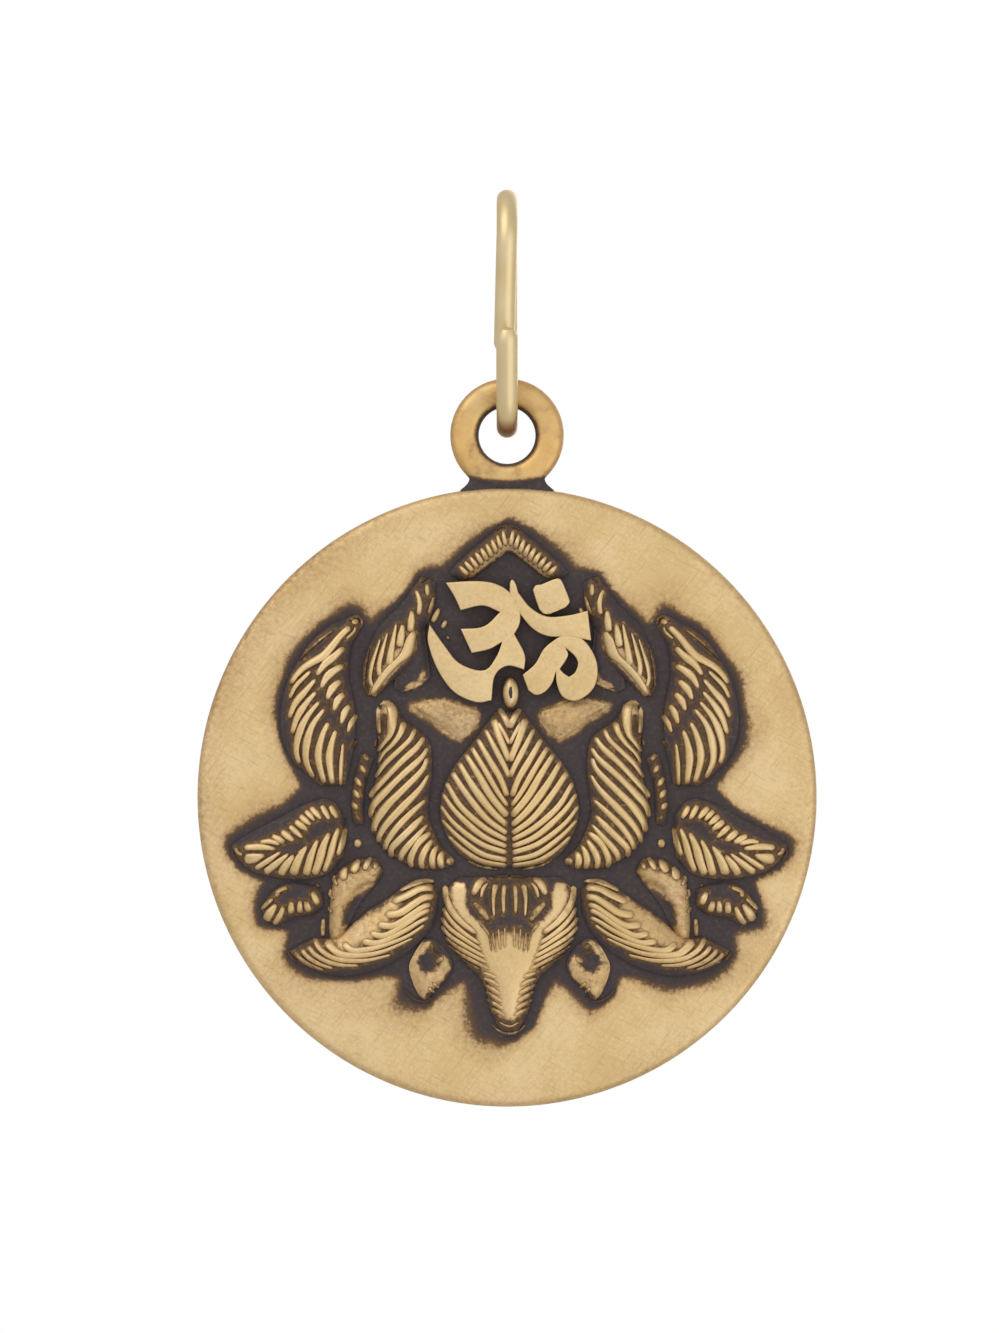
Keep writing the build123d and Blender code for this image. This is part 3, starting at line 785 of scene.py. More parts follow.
def surface(piece):
    """A piece's surface, for finding what is near it or under a point."""
    return BVHTree.FromObject(piece, bpy.context.evaluated_depsgraph_get())


def finish_piece(piece, body, finish, smooth_angle):
    """Smooth shading, outward faces, a finish, and the CAD body that the piece rides on."""
    edit_all(piece, bpy.ops.mesh.normals_make_consistent, inside=False)
    bpy.ops.object.shade_smooth_by_angle(angle=radians(smooth_angle))
    piece.data.materials.clear()
    piece.data.materials.append(finish)
    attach(piece, body)


# Materials

def linear(hex_colour):
    """A linear colour from an sRGB hex one."""
    parts = [int(hex_colour[i:i + 2], 16) / 255 for i in (1, 3, 5)]
    return tuple(p / 12.92 if p <= 0.04045 else ((p + 0.055) / 1.055) ** 2.4 for p in parts) + (1.0,)


def grey(value):
    return (value, value, value, 1.0)


def add(tree, kind, inputs=(), **settings):
    """A node with its settings and the values or links of its inputs."""
    node = tree.nodes.new(kind)
    for name, value in settings.items():
        setattr(node, name, value)
    for name, value in dict(inputs).items():
        if isinstance(value, bpy.types.NodeSocket):
            tree.links.new(value, node.inputs[name])
        else:
            node.inputs[name].default_value = value
    return node


def noise_map(tree, where, size, detail, roughness=0.5):
    """Noise whose spots are of about one size."""
    return add(tree, "ShaderNodeTexNoise", {"Vector": where, "Scale": 1 / size, "Detail": detail,
                                            "Roughness": roughness}).outputs["Fac"]


def maths(tree, operation, *values, clamp=False):
    """One calculation with values or links."""
    return add(tree, "ShaderNodeMath", enumerate(values), operation=operation,
               use_clamp=clamp).outputs[0]


def scaled(tree, value, low, high, to_low, to_high):
    """A value from one range put into another."""
    return add(tree, "ShaderNodeMapRange", {"Value": value, "From Min": low, "From Max": high,
                                            "To Min": to_low, "To Max": to_high}).outputs[0]


def ramp(tree, value, stops):
    """A colour for a value, from stops of position and colour."""
    node = add(tree, "ShaderNodeValToRGB", {"Fac": value})
    elements = node.color_ramp.elements
    while len(elements) > 1:
        elements.remove(elements[-1])
    elements[0].position, elements[0].color = stops[0]
    for position, stop_colour in stops[1:]:
        elements.new(position).color = stop_colour
    return node.outputs["Color"]


def mixed(tree, factor, first, second):
    """The colour between two colours, each a link or a value."""
    return add(tree, "ShaderNodeMix", {0: factor, 6: first, 7: second}, data_type="RGBA").outputs[2]


def new_finish(name):
    """An empty material, its nodes, and the place on the piece."""
    finish = bpy.data.materials.new(name)
    finish.use_nodes = True
    tree = finish.node_tree
    tree.nodes.clear()
    return finish, tree, add(tree, "ShaderNodeTexCoord").outputs["Object"]


def shade(tree, tone, metal, rough, height, strength, distance):
    """The surface of a material, with a fine bump."""
    bump = add(tree, "ShaderNodeBump", {"Height": height, "Strength": strength,
                                        "Distance": distance}).outputs["Normal"]
    shader = add(tree, "ShaderNodeBsdfPrincipled", {"Base Color": tone, "Metallic": metal,
                                                    "Roughness": rough, "Normal": bump})
    add(tree, "ShaderNodeOutputMaterial", {"Surface": shader.outputs[0]})


# Each look of the cast brass: its material's name, the colours of its lighter and its usual brass,
# and how strongly it is brushed and speckled.
Brass = namedtuple("Brass", "name light base brushed speckle")

BRASSES = {
    "disc": Brass("antiqued_brushed_brass", "brass_light", "brass", 1.0, 1.0),
    "relief": Brass("antiqued_cast_brass", "brass_light", "brass", 0.3, 1.1),
    "eyelet": Brass("antiqued_eyelet_brass", "brass", "eyelet", 0.4, 0.9),
}


def antique_brass(kind):
    """Cast brass, darkened and rubbed back: soft satin metal with matt oxide in its hollows."""
    look = BRASSES[kind]
    if look.name in bpy.data.materials:
        return bpy.data.materials[look.name]
    light, base = (linear(getattr(colours(), name)) for name in (look.light, look.base))
    finish, tree, where = new_finish(look.name)
    # Grain of the casting, cloudy patches of tone, and specks.
    grain = noise_map(tree, where, 0.12 * MM, 3.0, 0.6)
    cloud = noise_map(tree, where, 2.5 * MM, 3.0, 0.55)
    speck = noise_map(tree, where, 0.20 * MM, 4.0, 0.7)
    # Fine scratches of a brush in two slants, about 0.05 mm wide and 1 mm long.
    slants = []
    for slant, stretch in ((38, 16.0), (-62, 10.0)):
        along = add(tree, "ShaderNodeMapping",
                    {"Vector": where, "Rotation": (0.0, radians(slant), 0.0),
                     "Scale": (1.0, 1.0, stretch)}, vector_type="TEXTURE").outputs[0]
        slants.append(noise_map(tree, along, 0.09 * MM, 2.0))
    strokes = maths(tree, "MAXIMUM", *slants)
    tone = maths(tree, "MULTIPLY", maths(tree, "ADD", cloud, grain), 0.5)
    rubbed = ramp(tree, tone, [(0.41, base), (0.59, light)])
    # Scratches of the brush and a few pits show a little darker.
    scratch = scaled(tree, strokes, 0.56, 0.74, 0.0, 0.30 * look.brushed)
    pits = scaled(tree, speck, 0.66, 0.76, 0.0, 0.5)
    rubbed = mixed(tree, maths(tree, "MAXIMUM", scratch, pits), rubbed, linear("#A5834F"))

    # The speckle is strongest where the patina is half rubbed off.
    # The patina attribute also holds painted shade at the disc's rim and the eyelet's neck.
    amount = add(tree, "ShaderNodeAttribute", attribute_name="patina").outputs["Fac"]
    room = maths(tree, "MULTIPLY", maths(tree, "SUBTRACT", 1.0, amount), amount)
    room = maths(tree, "MULTIPLY", room, 4 * look.speckle)
    shift = maths(tree, "ADD", speck, -0.5)
    amount = maths(tree, "MULTIPLY_ADD", shift, room, amount, clamp=True)
    cover = ramp(tree, amount, [(0.06, grey(0.0)), (0.30, grey(0.35)), (0.60, grey(0.92)),
                                (0.80, grey(1.0))])
    oxide_and_shade = ramp(tree, amount, [(0.10, linear("#A9713F")), (0.62, linear(colours().brown)),
                                (0.92, linear(colours().patina))])
    # The oxide is uneven: browner and thinner in specks.
    thin = scaled(tree, speck, 0.50, 0.72, 0.0, 0.40)
    oxide_and_shade = mixed(tree, thin, oxide_and_shade, linear("#6E5A4B"))
    # Oxide is duller and rougher than the metal under it.
    metal = ramp(tree, cover, [(0.0, grey(1.0)), (1.0, grey(0.35))])
    rough = maths(tree, "MULTIPLY_ADD", grain, 0.12, scaled(tree, cover, 0.0, 1.0, 0.50, 0.66))
    height = maths(tree, "MULTIPLY_ADD", strokes, look.brushed, grain)
    shade(tree, mixed(tree, cover, rubbed, oxide_and_shade), metal, rough, height, 0.22, 0.02 * MM)
    return finish


def plated_wire():
    """Pale gold plating on drawn wire: smooth, bright metal with faint draw lines along it."""
    finish, tree, where = new_finish("gold_plated_wire")
    drawn = add(tree, "ShaderNodeMapping", {"Vector": where, "Scale": (1.0, 1.0, 0.05)}).outputs[0]
    lines = noise_map(tree, drawn, 0.12 * MM, 2.0)
    cloud = noise_map(tree, where, 1.2 * MM, 2.0)
    tone = ramp(tree, cloud, [(0.35, linear(colours().wire)), (0.70, linear("#E0CEA6"))])
    # The bottom of the wire, where it bends under through the eyelet, is painted brown: painted shade
    # under the bend, with a little tarnish.
    height = add(tree, "ShaderNodeSeparateXYZ", {"Vector": where}).outputs["Z"]
    oxide_and_shade = scaled(tree, height, -8.50 * MM, -8.90 * MM, 0.0, 0.8)
    rough = scaled(tree, cloud, 0.0, 1.0, 0.46, 0.56)
    shade(tree, mixed(tree, oxide_and_shade, tone, linear("#A9763F")), 1.0, rough, lines, 0.15, 0.01 * MM)
    return finish


# Petals

# How deep the plates and the sign's strokes stand in the disc.
SUNK = 0.1 * MM
LOWEST_PLATE = 0.12 * MM
# The edges of bright patches are ragged by this share of the radius, in spots of this size.
RAGGED = 0.006
RAGGED_SPOT = 0.22 * MM


def plate_height(share, rise, drop):
    """Height over the disc's face, at a share of the way across a plate's section."""
    crest = rise * sizes().plate_height
    wall = 0.30 * crest
    height = wall + (crest - wall) * 4 * share * (1 - share)
    # A drop is a narrow groove along the middle.
    off_middle = abs(2 * share - 1)
    return height - drop * rise * max(0.0, 1 - off_middle / 0.10)


def hollow_depth(point):
    """How far the petals are pressed in at a point."""
    depth = 0.0
    for hollow in HOLLOWS:
        spot = (hollow.across, hollow.up)
        for middle in places([spot] + twin([spot])):
            away = hypot((point.x - middle.x) / hollow.reach_across,
                         (point.z - middle.z) / hollow.reach_up) / RADIUS
            depth = max(depth, hollow.depth * (1 - step_up(away, 0.35, 1.0)))
    return depth * sizes().plate_height


def flat_shape(corners):
    """A closed outline on the disc's face, as a filled shape that distances are taken from."""
    return BVHTree.FromPolygons(corners, [list(range(len(corners)))])


def patch_shapes(wanted):
    """Each of the wanted bright patches and its mirrored twin, with their filled shapes."""
    return [(patch, flat_shape(places(path)))
            for patch in wanted for path in (patch.outline, twin(patch.outline))]


def patch_value(point, value, patches):
    """The patina at a point, lowered where a bright patch covers it; the edges are ragged."""
    flat = Vector((point.x, FRONT_Y, point.z))
    ragged = RAGGED * RADIUS * noise.noise(flat / RAGGED_SPOT)
    for patch, shape in patches:
        away = shape.find_nearest(flat, 1.5 * patch.soft * RADIUS)[3]
        if away is not None:
            share = 1 - step_up(away + ragged, 0.0, patch.soft * RADIUS)
            value += (patch.tarnish - value) * share
    return value


def add_plate(mesh, rows, side, drop=0.0):
    """One petal's plate: a domed top over upright walls that go into the disc."""
    starts = [place(FLOWER_AXIS + side * row.start_across, row.start_up) for row in rows]
    ends = [place(FLOWER_AXIS + side * row.end_across, row.end_up) for row in rows]
    middles = [(start + end) / 2 for start, end in zip(starts, ends)]
    widest = max((end - start).length for start, end in zip(starts, ends))
    along = max(8, round(lengths_along(middles)[-1] / sizes().plate_step))
    across = max(6, round(widest / sizes().plate_step))
    rises = [row.rise for row in rows]
    foot = Vector((0, SUNK, 0))
    rings = []
    for i, (start, end) in enumerate(zip(rows_line(starts, along), rows_line(ends, along))):
        rise = between(rises, i / (along - 1))
        # The two ends of a petal slope down.
        slope = 1 - 0.5 * max(0.0, 1 - min(i, along - 1 - i) / 1.5)
        ring = [mesh.verts.new(start + foot)]
        for j in range(across + 1):
            share = j / across
            point = start.lerp(end, share)
            proud = plate_height(share, rise, drop) * slope
            point.y -= max(LOWEST_PLATE, proud - hollow_depth(point))
            ring.append(mesh.verts.new(point))
        ring.append(mesh.verts.new(end + foot))
        rings.append(ring)
    skin(mesh, rings)


class CHARM_OT_petals(bpy.types.Operator):
    """Add the domed plates of the lotus petals"""
    bl_idname = "charm.petals"
    bl_label = "Petals"

    def execute(self, context):
        mesh = bmesh.new()
        for name, rows in MIDDLE_PLATES.items():
            add_plate(mesh, rows, 1, 0.06 * MM if name == "centre" else 0.0)
        for rows in SIDE_PLATES.values():
            add_plate(mesh, rows, 1)
            add_plate(mesh, rows, -1)
        petals = new_piece("petals", mesh)
        set_patina_and_shade(petals, [1.0] * len(petals.data.vertices))
        finish_piece(petals, "medallion", antique_brass("relief"), 50.0)
        return {"FINISHED"}


# Ridges on the petals

# Spacing of the sections along a ridge, and the fewest and the most that one has.
RIDGE_STEP = 0.14 * MM
FEWEST, MOST = 9, 26
# A ridge narrower than this share of the radius is lower too.
THIN_RIDGE = 0.016


def petals_under(tree, point):
    """How far forward the petals are under a point, or else the disc's face."""
    hit = tree.ray_cast(Vector((point.x, -20 * MM, point.z)), Vector((0, 1, 0)))[0]
    return min(FRONT_Y, hit.y) if hit else FRONT_Y


def evened(values):
    """The values, each drawn toward its two neighbours."""
    befores = [values[0], *values[:-1]]
    afters = [*values[1:], values[-1]]
    return [(before + 2 * value + after) / 4
            for before, value, after in zip(befores, values, afters)]


def add_ridge(mesh, patina, tree, ridge, height, bright_patches):
    """One ridge: a long pillow that lies on the plates, and whose ends sink into bright patches."""
    points = places(ridge.path)
    whole = lengths_along(points)[-1]
    count = max(FEWEST, min(MOST, round(whole / RIDGE_STEP)))
    line = smooth_line(points, count)
    base = evened(evened([petals_under(tree, point) for point in line]))
    start_round, end_round = (0.55 * ridge.widths[spot] * RADIUS + 0.02 * MM for spot in (0, -1))
    rings = []
    for i, point in enumerate(line):
        reach = i / (count - 1)
        ahead = line[min(count - 1, i + 1)] - line[max(0, i - 1)]
        side = Vector((ahead.z, 0, -ahead.x)).normalized()
        width = FOOT_TO_CROWN * between(ridge.widths, reach) * RADIUS
        # Both ends are round.
        near_start = reach * whole / start_round
        near_end = (1 - reach) * whole / end_round
        rounding = sqrt(max(0.0, 1 - (1 - min(1.0, near_start, near_end)) ** 2))
        half = width / 2 * max(0.12, rounding)
        # An end sinks where a bright patch covers it, and a thin ridge is low.
        bright = 1 - patch_value(point, 1.0, bright_patches)
        sunk = bright * (1 - step_up(min(near_start, near_end), 0.5, 2.2))
        rise = height * min(1.0, sqrt(width / (THIN_RIDGE * RADIUS))) * (0.25 + 0.75 * rounding)
        rise *= 1 - 0.6 * sunk
        # Where the plate is low, less oxide is rubbed off.
        low = 1 - step_up(FRONT_Y - base[i], 0.16 * MM, 0.32 * MM)
        # The ends run out into brown, more at the petal's outer edge.
        fade = max(0.20 * (1 - step_up(near_start, 0.4, 2.6)), 0.40 * (1 - step_up(near_end, 0.4, 3.4)))
        darkest = max(ridge.tarnish + 0.30 * low, fade, 0.75 if i in (0, count - 1) else 0.0)
        ring = []
        for shoulder in RIDGE_SECTION:
            spot = point + side * (half * shoulder.out)
            # The sides follow the petals, but stay near the middle's own height.
            under = petals_under(tree, spot)
            under = max(base[i] - 0.10 * MM, min(base[i] + 0.10 * MM, under))
            spot.y = under - rise * shoulder.height
            ring.append(mesh.verts.new(spot))
            patina.append(max(shoulder.patina, darkest) * (1 - 0.9 * sunk))
        for out in (1.0, -1.0):
            spot = point + side * (half * out)
            spot.y = base[i] + 0.16 * MM
            ring.append(mesh.verts.new(spot))
            patina.append(1.0)
        rings.append(ring)
    skin(mesh, rings)


class CHARM_OT_ridges(bpy.types.Operator):
    """Add the raised ridges that lie on the petals"""
    bl_idname = "charm.ridges"
    bl_label = "Ridges"

    def execute(self, context):
        petals = bpy.data.objects["petals"]
        tree = surface(petals)
        height = sizes().ridge_height
        bright_patches = patch_shapes([patch for patch in PATCHES.values() if patch.tarnish < 0.25])
        ridges = list(SINGLE_RIDGES)
        for name, rows in SIDE_RIDGES.items():
            axis = ROOF_AXIS if name == "roof" else FLOWER_AXIS
            for ridge in rows:
                ridge = ridge._replace(widths=[width * FULLER[name] for width in ridge.widths])
                ridges += [ridge, ridge._replace(path=twin(ridge.path, axis))]
        mesh = bmesh.new()
        patina = []
        for ridge in ridges:
            add_ridge(mesh, patina, tree, ridge, height, bright_patches)
        add_ridge(mesh, patina, tree, BUD_SLIT, 1.45 * height, bright_patches)
        piece = new_piece("ridges", mesh)
        set_patina_and_shade(piece, patina)
        finish_piece(piece, "medallion", antique_brass("relief"), 60.0)

        # The plates stay brown close to a ridge, where little patina fits, and darken away from it.
        # Bright patches cut through that.
        ridge_tree = surface(piece)
        patches = patch_shapes(PATCHES.values())
        values = []
        for vertex in petals.data.vertices:
            gap = ridge_tree.find_nearest(vertex.co)[3]
            value = 0.66 + 0.34 * step_up(gap, 0.05 * MM, 0.22 * MM)
            values.append(patch_value(vertex.co, value, patches))
        set_patina_and_shade(petals, values)
        return {"FINISHED"}


# Sign

SIGN_EDGE = 0.05 * MM


def outline(runs):
    """The closed outline of a stroke, smooth along each run and sharp where two runs meet."""
    points = []
    for run in runs:
        ends = places(run)
        if len(ends) == 2:
            points += [ends[0], ends[0].lerp(ends[1], 0.5)]
        else:
            points += smooth_line(ends, 4 * len(ends))[:-1]
    return points


def sign_stroke(name, loops):
    """One stroke, flat on top with eased edges, standing in the disc's face."""
    tall = SIGN_TOPS[name] * sizes().sign_height + SUNK
    curve = bpy.data.curves.new(name, "CURVE")
    curve.dimensions = "2D"
    curve.fill_mode = "BOTH"
    for loop in loops:
        points = outline(loop)
        spline = curve.splines.new("POLY")
        spline.points.add(len(points) - 1)
        for knot, point in zip(spline.points, points):
            knot.co = (point.x, point.z - DISC_Z, 0, 1)
        spline.use_cyclic_u = True
    curve.offset = -SIGN_EDGE
    curve.extrude = tall / 2 - SIGN_EDGE
    curve.bevel_depth = SIGN_EDGE
    curve.bevel_resolution = 2
    stroke = bpy.data.objects.new(name, curve)
    bpy.context.collection.objects.link(stroke)
    only(stroke)
    bpy.ops.object.convert(target="MESH")
    stroke = bpy.context.view_layer.objects.active
    for vertex in stroke.data.vertices:
        across, up, out = vertex.co
        vertex.co = (across, FRONT_Y + SUNK - tall / 2 - out, up + DISC_Z)
    return stroke


class CHARM_OT_sign(bpy.types.Operator):
    """Add the flat topped strokes of the sign above the bud"""
    bl_idname = "charm.sign"
    bl_label = "Sign"

    def execute(self, context):
        strokes = [sign_stroke(name, [runs, LOOP_HOLE] if name == "loop" else [runs])
                   for name, runs in SIGN_STROKES.items()]
        sign = join(strokes, "sign")
        edit_all(sign, bpy.ops.mesh.remove_doubles, threshold=0.0005 * MM)
        # Its top is rubbed bright, and its sides are dark.
        top = sizes().sign_height
        set_patina_and_shade(sign, [1.0 - 0.92 * step_up(FRONT_Y - vertex.co.y, 0.78 * top, 0.92 * top)
                          for vertex in sign.data.vertices])
        finish_piece(sign, "medallion", antique_brass("relief"), 35.0)
        return {"FINISHED"}


# Disc

RIM_POINTS = 320
# The disc is this share of the CAD's, so that its eased rim stays within it.
DISC_SHARE = 0.99985
BACK_RINGS = 10
BACK_STEP = 1.1 * MM
# The side of the rim painted browner: partly oxide, partly painted shade.
UPPER_LEFT = radians(152)


def add_rings(mesh, facing, count, width):
    """Rings of faces on the disc's front (facing -1) or its back (facing 1)."""
    builder = bmesh.from_edit_mesh(mesh)
    for face in builder.faces:
        face.select_set(face.normal.y * facing > 0.99 and len(face.verts) > 8)
    bmesh.update_edit_mesh(mesh)
    for _ in range(count):
        bpy.ops.mesh.inset(thickness=width, depth=0.0)
    bpy.ops.mesh.poke()
    bpy.ops.mesh.select_all(action="DESELECT")


def rim_tint_and_shade(point):
    """Darker colour near the disc's rim: a thin line on the eased edge, painted shade that dims its
    highlight, and an uneven brown band inside it.
    """
    up = point.z - DISC_Z
    away = hypot(point.x, up)
    # The thin line on the eased edge is painted shade that dims the edge's highlight.
    value = 0.08 * step_up(away, RADIUS - 0.34 * MM, RADIUS - 0.12 * MM)
    value += 0.11 * step_up(away, RADIUS - 2.2 * MM, RADIUS) * (1 + noise.noise(point / (2.6 * MM)))
    # It is browner at the upper left: partly oxide, partly painted shade, as the light falls from the
    # upper right.
    lean = (point.x * cos(UPPER_LEFT) + up * sin(UPPER_LEFT)) / RADIUS
    return value + 0.17 * max(0.0, lean) ** 6 * step_up(away, RADIUS - 2.2 * MM, RADIUS - 0.6 * MM)


def front_patina(point, near, stippled):
    """The oxide on the disc's front: thick beside the relief, with a thin veil out past it."""
    gap = min(tree.find_nearest(point)[3] for tree in near)
    # The patina creeps out further in some places than in others, and most of all low down.
    creep = max(0.35, 0.9 + noise.noise(point / (1.9 * MM)))
    creep *= 1 + 0.7 * step_up((DISC_Z - point.z) / RADIUS, 0.45, 0.60)
    reach = creep * sizes().smudge_width
    thick = (1.0 - step_up(gap, 0.0, reach)) ** 1.6
    veil = 0.27 * (1.0 - step_up(gap, 0.2 * reach, 1.9 * reach))
    return patch_value(point, max(veil, thick), stippled)


class CHARM_OT_disc(bpy.types.Operator):
    """Add the round disc with its eased rim, darkened around the lotus"""
    bl_idname = "charm.disc"
    bl_label = "Disc"

    def execute(self, context):
        bpy.ops.object.select_all(action="DESELECT")
        bpy.ops.mesh.primitive_cylinder_add(
            vertices=RIM_POINTS, radius=DISC_SHARE * RADIUS, depth=BACK_Y - FRONT_Y,
            end_fill_type="NGON", location=(0, 0, DISC_Z), rotation=(pi / 2, 0, 0))
        disc = context.view_layer.objects.active
        disc.name = "medallion_disc"
        bpy.ops.object.transform_apply()
        mesh = disc.data
        bpy.ops.object.mode_set(mode="EDIT")
        bpy.ops.mesh.select_all(action="DESELECT")
        builder = bmesh.from_edit_mesh(mesh)
        for edge in builder.edges:
            around = abs(edge.verts[0].co.y - edge.verts[1].co.y) < 0.001 * MM
            edge.select_set(around)
        bmesh.update_edit_mesh(mesh)
        rounding, step = sizes().edge_rounding, sizes().disc_step
        bpy.ops.mesh.bevel(offset=rounding, segments=5, profile=0.5)
        add_rings(mesh, -1, int((RADIUS - rounding) / step) - 1, step)
        add_rings(mesh, 1, BACK_RINGS, BACK_STEP)
        bpy.ops.object.mode_set(mode="OBJECT")

        near = [surface(bpy.data.objects[name]) for name in ("petals", "sign")]
        near.append(flat_shape(places(GROUND + twin(GROUND)[::-1])))
        stippled = patch_shapes([PATCHES["back"], PATCHES["streak"]])
        values = []
        for vertex in mesh.vertices:
            value = rim_tint_and_shade(vertex.co)
            if vertex.co.y <= FRONT_Y + 0.05 * MM:
                value = max(value, front_patina(vertex.co, near, stippled))
            values.append(value)
        set_patina_and_shade(disc, values)
        finish_piece(disc, "medallion", antique_brass("disc"), 35.0)
        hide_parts("medallion")
        return {"FINISHED"}


# Eyelet

def add_ring():
    """The eyelet's ring, its section squared off to flat faces with rounded edges."""
    half = EYELET_WIDTH / 2
    middle = EYELET_RADIUS - half
    bpy.ops.object.select_all(action="DESELECT")
    bpy.ops.mesh.primitive_torus_add(
        major_radius=middle, minor_radius=half, major_segments=96, minor_segments=24,
        location=(0, 0, EYELET_Z), rotation=(pi / 2, 0, 0))
    ring = bpy.context.view_layer.objects.active
    bpy.ops.object.transform_apply()
    for vertex in ring.data.vertices:
        away = hypot(vertex.co.x, vertex.co.z - EYELET_Z)
        across = (away - middle) / half
        out = vertex.co.y / half
        stretch = 1 / max(abs(across) ** 4 + abs(out) ** 4, 1e-9) ** 0.25
        wider = (middle + across * stretch * half) / away
        vertex.co.x *= wider
        vertex.co.z = EYELET_Z + (vertex.co.z - EYELET_Z) * wider
        vertex.co.y = out * stretch * EYELET_DEPTH / 2
    return ring


def add_neck():
    """The neck between the disc and the eyelet, which widens to the disc in a hollow curve."""
    bpy.ops.object.select_all(action="DESELECT")
    bpy.ops.mesh.primitive_cube_add(size=1.0, location=(0, 0, (NECK_LOW + NECK_HIGH) / 2),
                                    scale=(NECK_WIDTH, NECK_DEPTH, NECK_HIGH - NECK_LOW))
    neck = bpy.context.view_layer.objects.active
    bpy.ops.object.transform_apply()
    edit_all(neck, bpy.ops.mesh.subdivide, number_cuts=11)
    for vertex in neck.data.vertices:
        up = min(1.0, max(0.0, (vertex.co.z - DISC_TOP + 0.12 * MM) / FLARE_HEIGHT))
        vertex.co.x *= 1 + NECK_FLARE * (1 - up) ** 2.2
    return neck


def eyelet_patina_and_shade(point):
    """Painted shade, partly oxide, on the neck and where the ring meets the disc, and a thin darker line
    on both rims.
    """
    hole = EYELET_RADIUS - EYELET_WIDTH
    away = hypot(point.x, point.z - EYELET_Z)
    below = EYELET_Z - EYELET_RADIUS + 0.55 * MM - point.z
    # The neck and the ring's foot on the disc are painted shade, partly oxide.
    neck = (step_up(away, EYELET_RADIUS - 0.05 * MM, EYELET_RADIUS + 0.10 * MM)
            * step_up(below, -0.25 * MM, 0.10 * MM))
    over_disc = hypot(point.x, point.z - DISC_Z) - RADIUS
    band = (0.36 + 0.18 * (point.x / (1.25 * MM)) ** 2) * MM
    foot = 1 - step_up(over_disc, band - 0.24 * MM, band + 0.10 * MM)
    inside = 0.80 * (1 - step_up(away, hole + 0.02 * MM, hole + 0.28 * MM))
    outside = 0.32 * step_up(away, EYELET_RADIUS - 0.26 * MM, EYELET_RADIUS - 0.02 * MM)
    mottle = 0.12 + 0.28 * noise.noise(point / (0.48 * MM))
    return max(neck, foot, inside, outside, mottle)


class CHARM_OT_eyelet(bpy.types.Operator):
    """Add the round eyelet on its short neck"""
    bl_idname = "charm.eyelet"
    bl_label = "Eyelet"

    def execute(self, context):
        eyelet = join([add_ring(), add_neck()], "eyelet")
        # The ring and the neck are melted into one casting.
        blend = eyelet.modifiers.new("blend", "REMESH")
        blend.mode = "VOXEL"
        blend.voxel_size = 0.07 * MM
        soften = eyelet.modifiers.new("soften", "SMOOTH")
        soften.factor = 0.6
        soften.iterations = 6
        for modifier in ("blend", "soften"):
            bpy.ops.object.modifier_apply(modifier=modifier)
        set_patina_and_shade(eyelet, [eyelet_patina_and_shade(vertex.co) for vertex in eyelet.data.vertices])
        finish_piece(eyelet, "medallion", antique_brass("eyelet"), 60.0)
        return {"FINISHED"}


# Bail

# Points round the wire, and how many sections from each end a front limb's change reaches.
WIRE_POINTS = 28
END_STEPS = 14


def on_bend(middle_z, radius, angle):
    return Vector((0, radius * cos(angle), middle_z + radius * sin(angle)))


def touch_angle(middle_z, radius, point, side):
    """The angle at which a straight limb from a point touches a bend."""
    away = (point - Vector((0, 0, middle_z))).length
    return atan2(point.z - middle_z, point.y) + side * acos(radius / away)


def bend(middle_z, radius, start, end, count):
    return [on_bend(middle_z, radius, start + (end - start) * i / count) for i in range(count)]


def limb(start, end, count):
    return [start.lerp(end, i / count) for i in range(count)]


def bail_line():
    """Points along the middle of the wire, from its upper end round to its lower end."""
    hook_bend = SWING_Z - BAIL_LOW[2] - WIRE / 2
    top_z = WIRE / 2 - TOP_BEND
    upper_leave = touch_angle(top_z, TOP_BEND, UPPER_END, -1)
    upper_start = on_bend(top_z, TOP_BEND, upper_leave)
    # The hook's end stands in front of the upper limb, clear of it.
    along = (HOOK_TIP_Z - UPPER_END.z) / (upper_start.z - UPPER_END.z)
    behind_tip = UPPER_END + (upper_start - UPPER_END) * along
    lower_end = Vector((0, behind_tip.y - WIRE - HOOK_GAP, HOOK_TIP_Z))
    lower_leave = touch_angle(SWING_Z, hook_bend, lower_end, 1)
    lower_start = on_bend(SWING_Z, hook_bend, lower_leave)
    # Both bends meet the straight back limb at this angle, and each is run through downward.
    back = asin((TOP_BEND - hook_bend) / (top_z - SWING_Z))
    while upper_leave < back:
        upper_leave += 2 * pi
    while lower_leave > back:
        lower_leave -= 2 * pi
    return (limb(UPPER_END, upper_start, 12)
            + bend(top_z, TOP_BEND, upper_leave, back, 24)
            + limb(on_bend(top_z, TOP_BEND, back), on_bend(SWING_Z, hook_bend, back), 16)
            + bend(SWING_Z, hook_bend, back, lower_leave, 24)
            + limb(lower_start, lower_end, 10) + [lower_end])


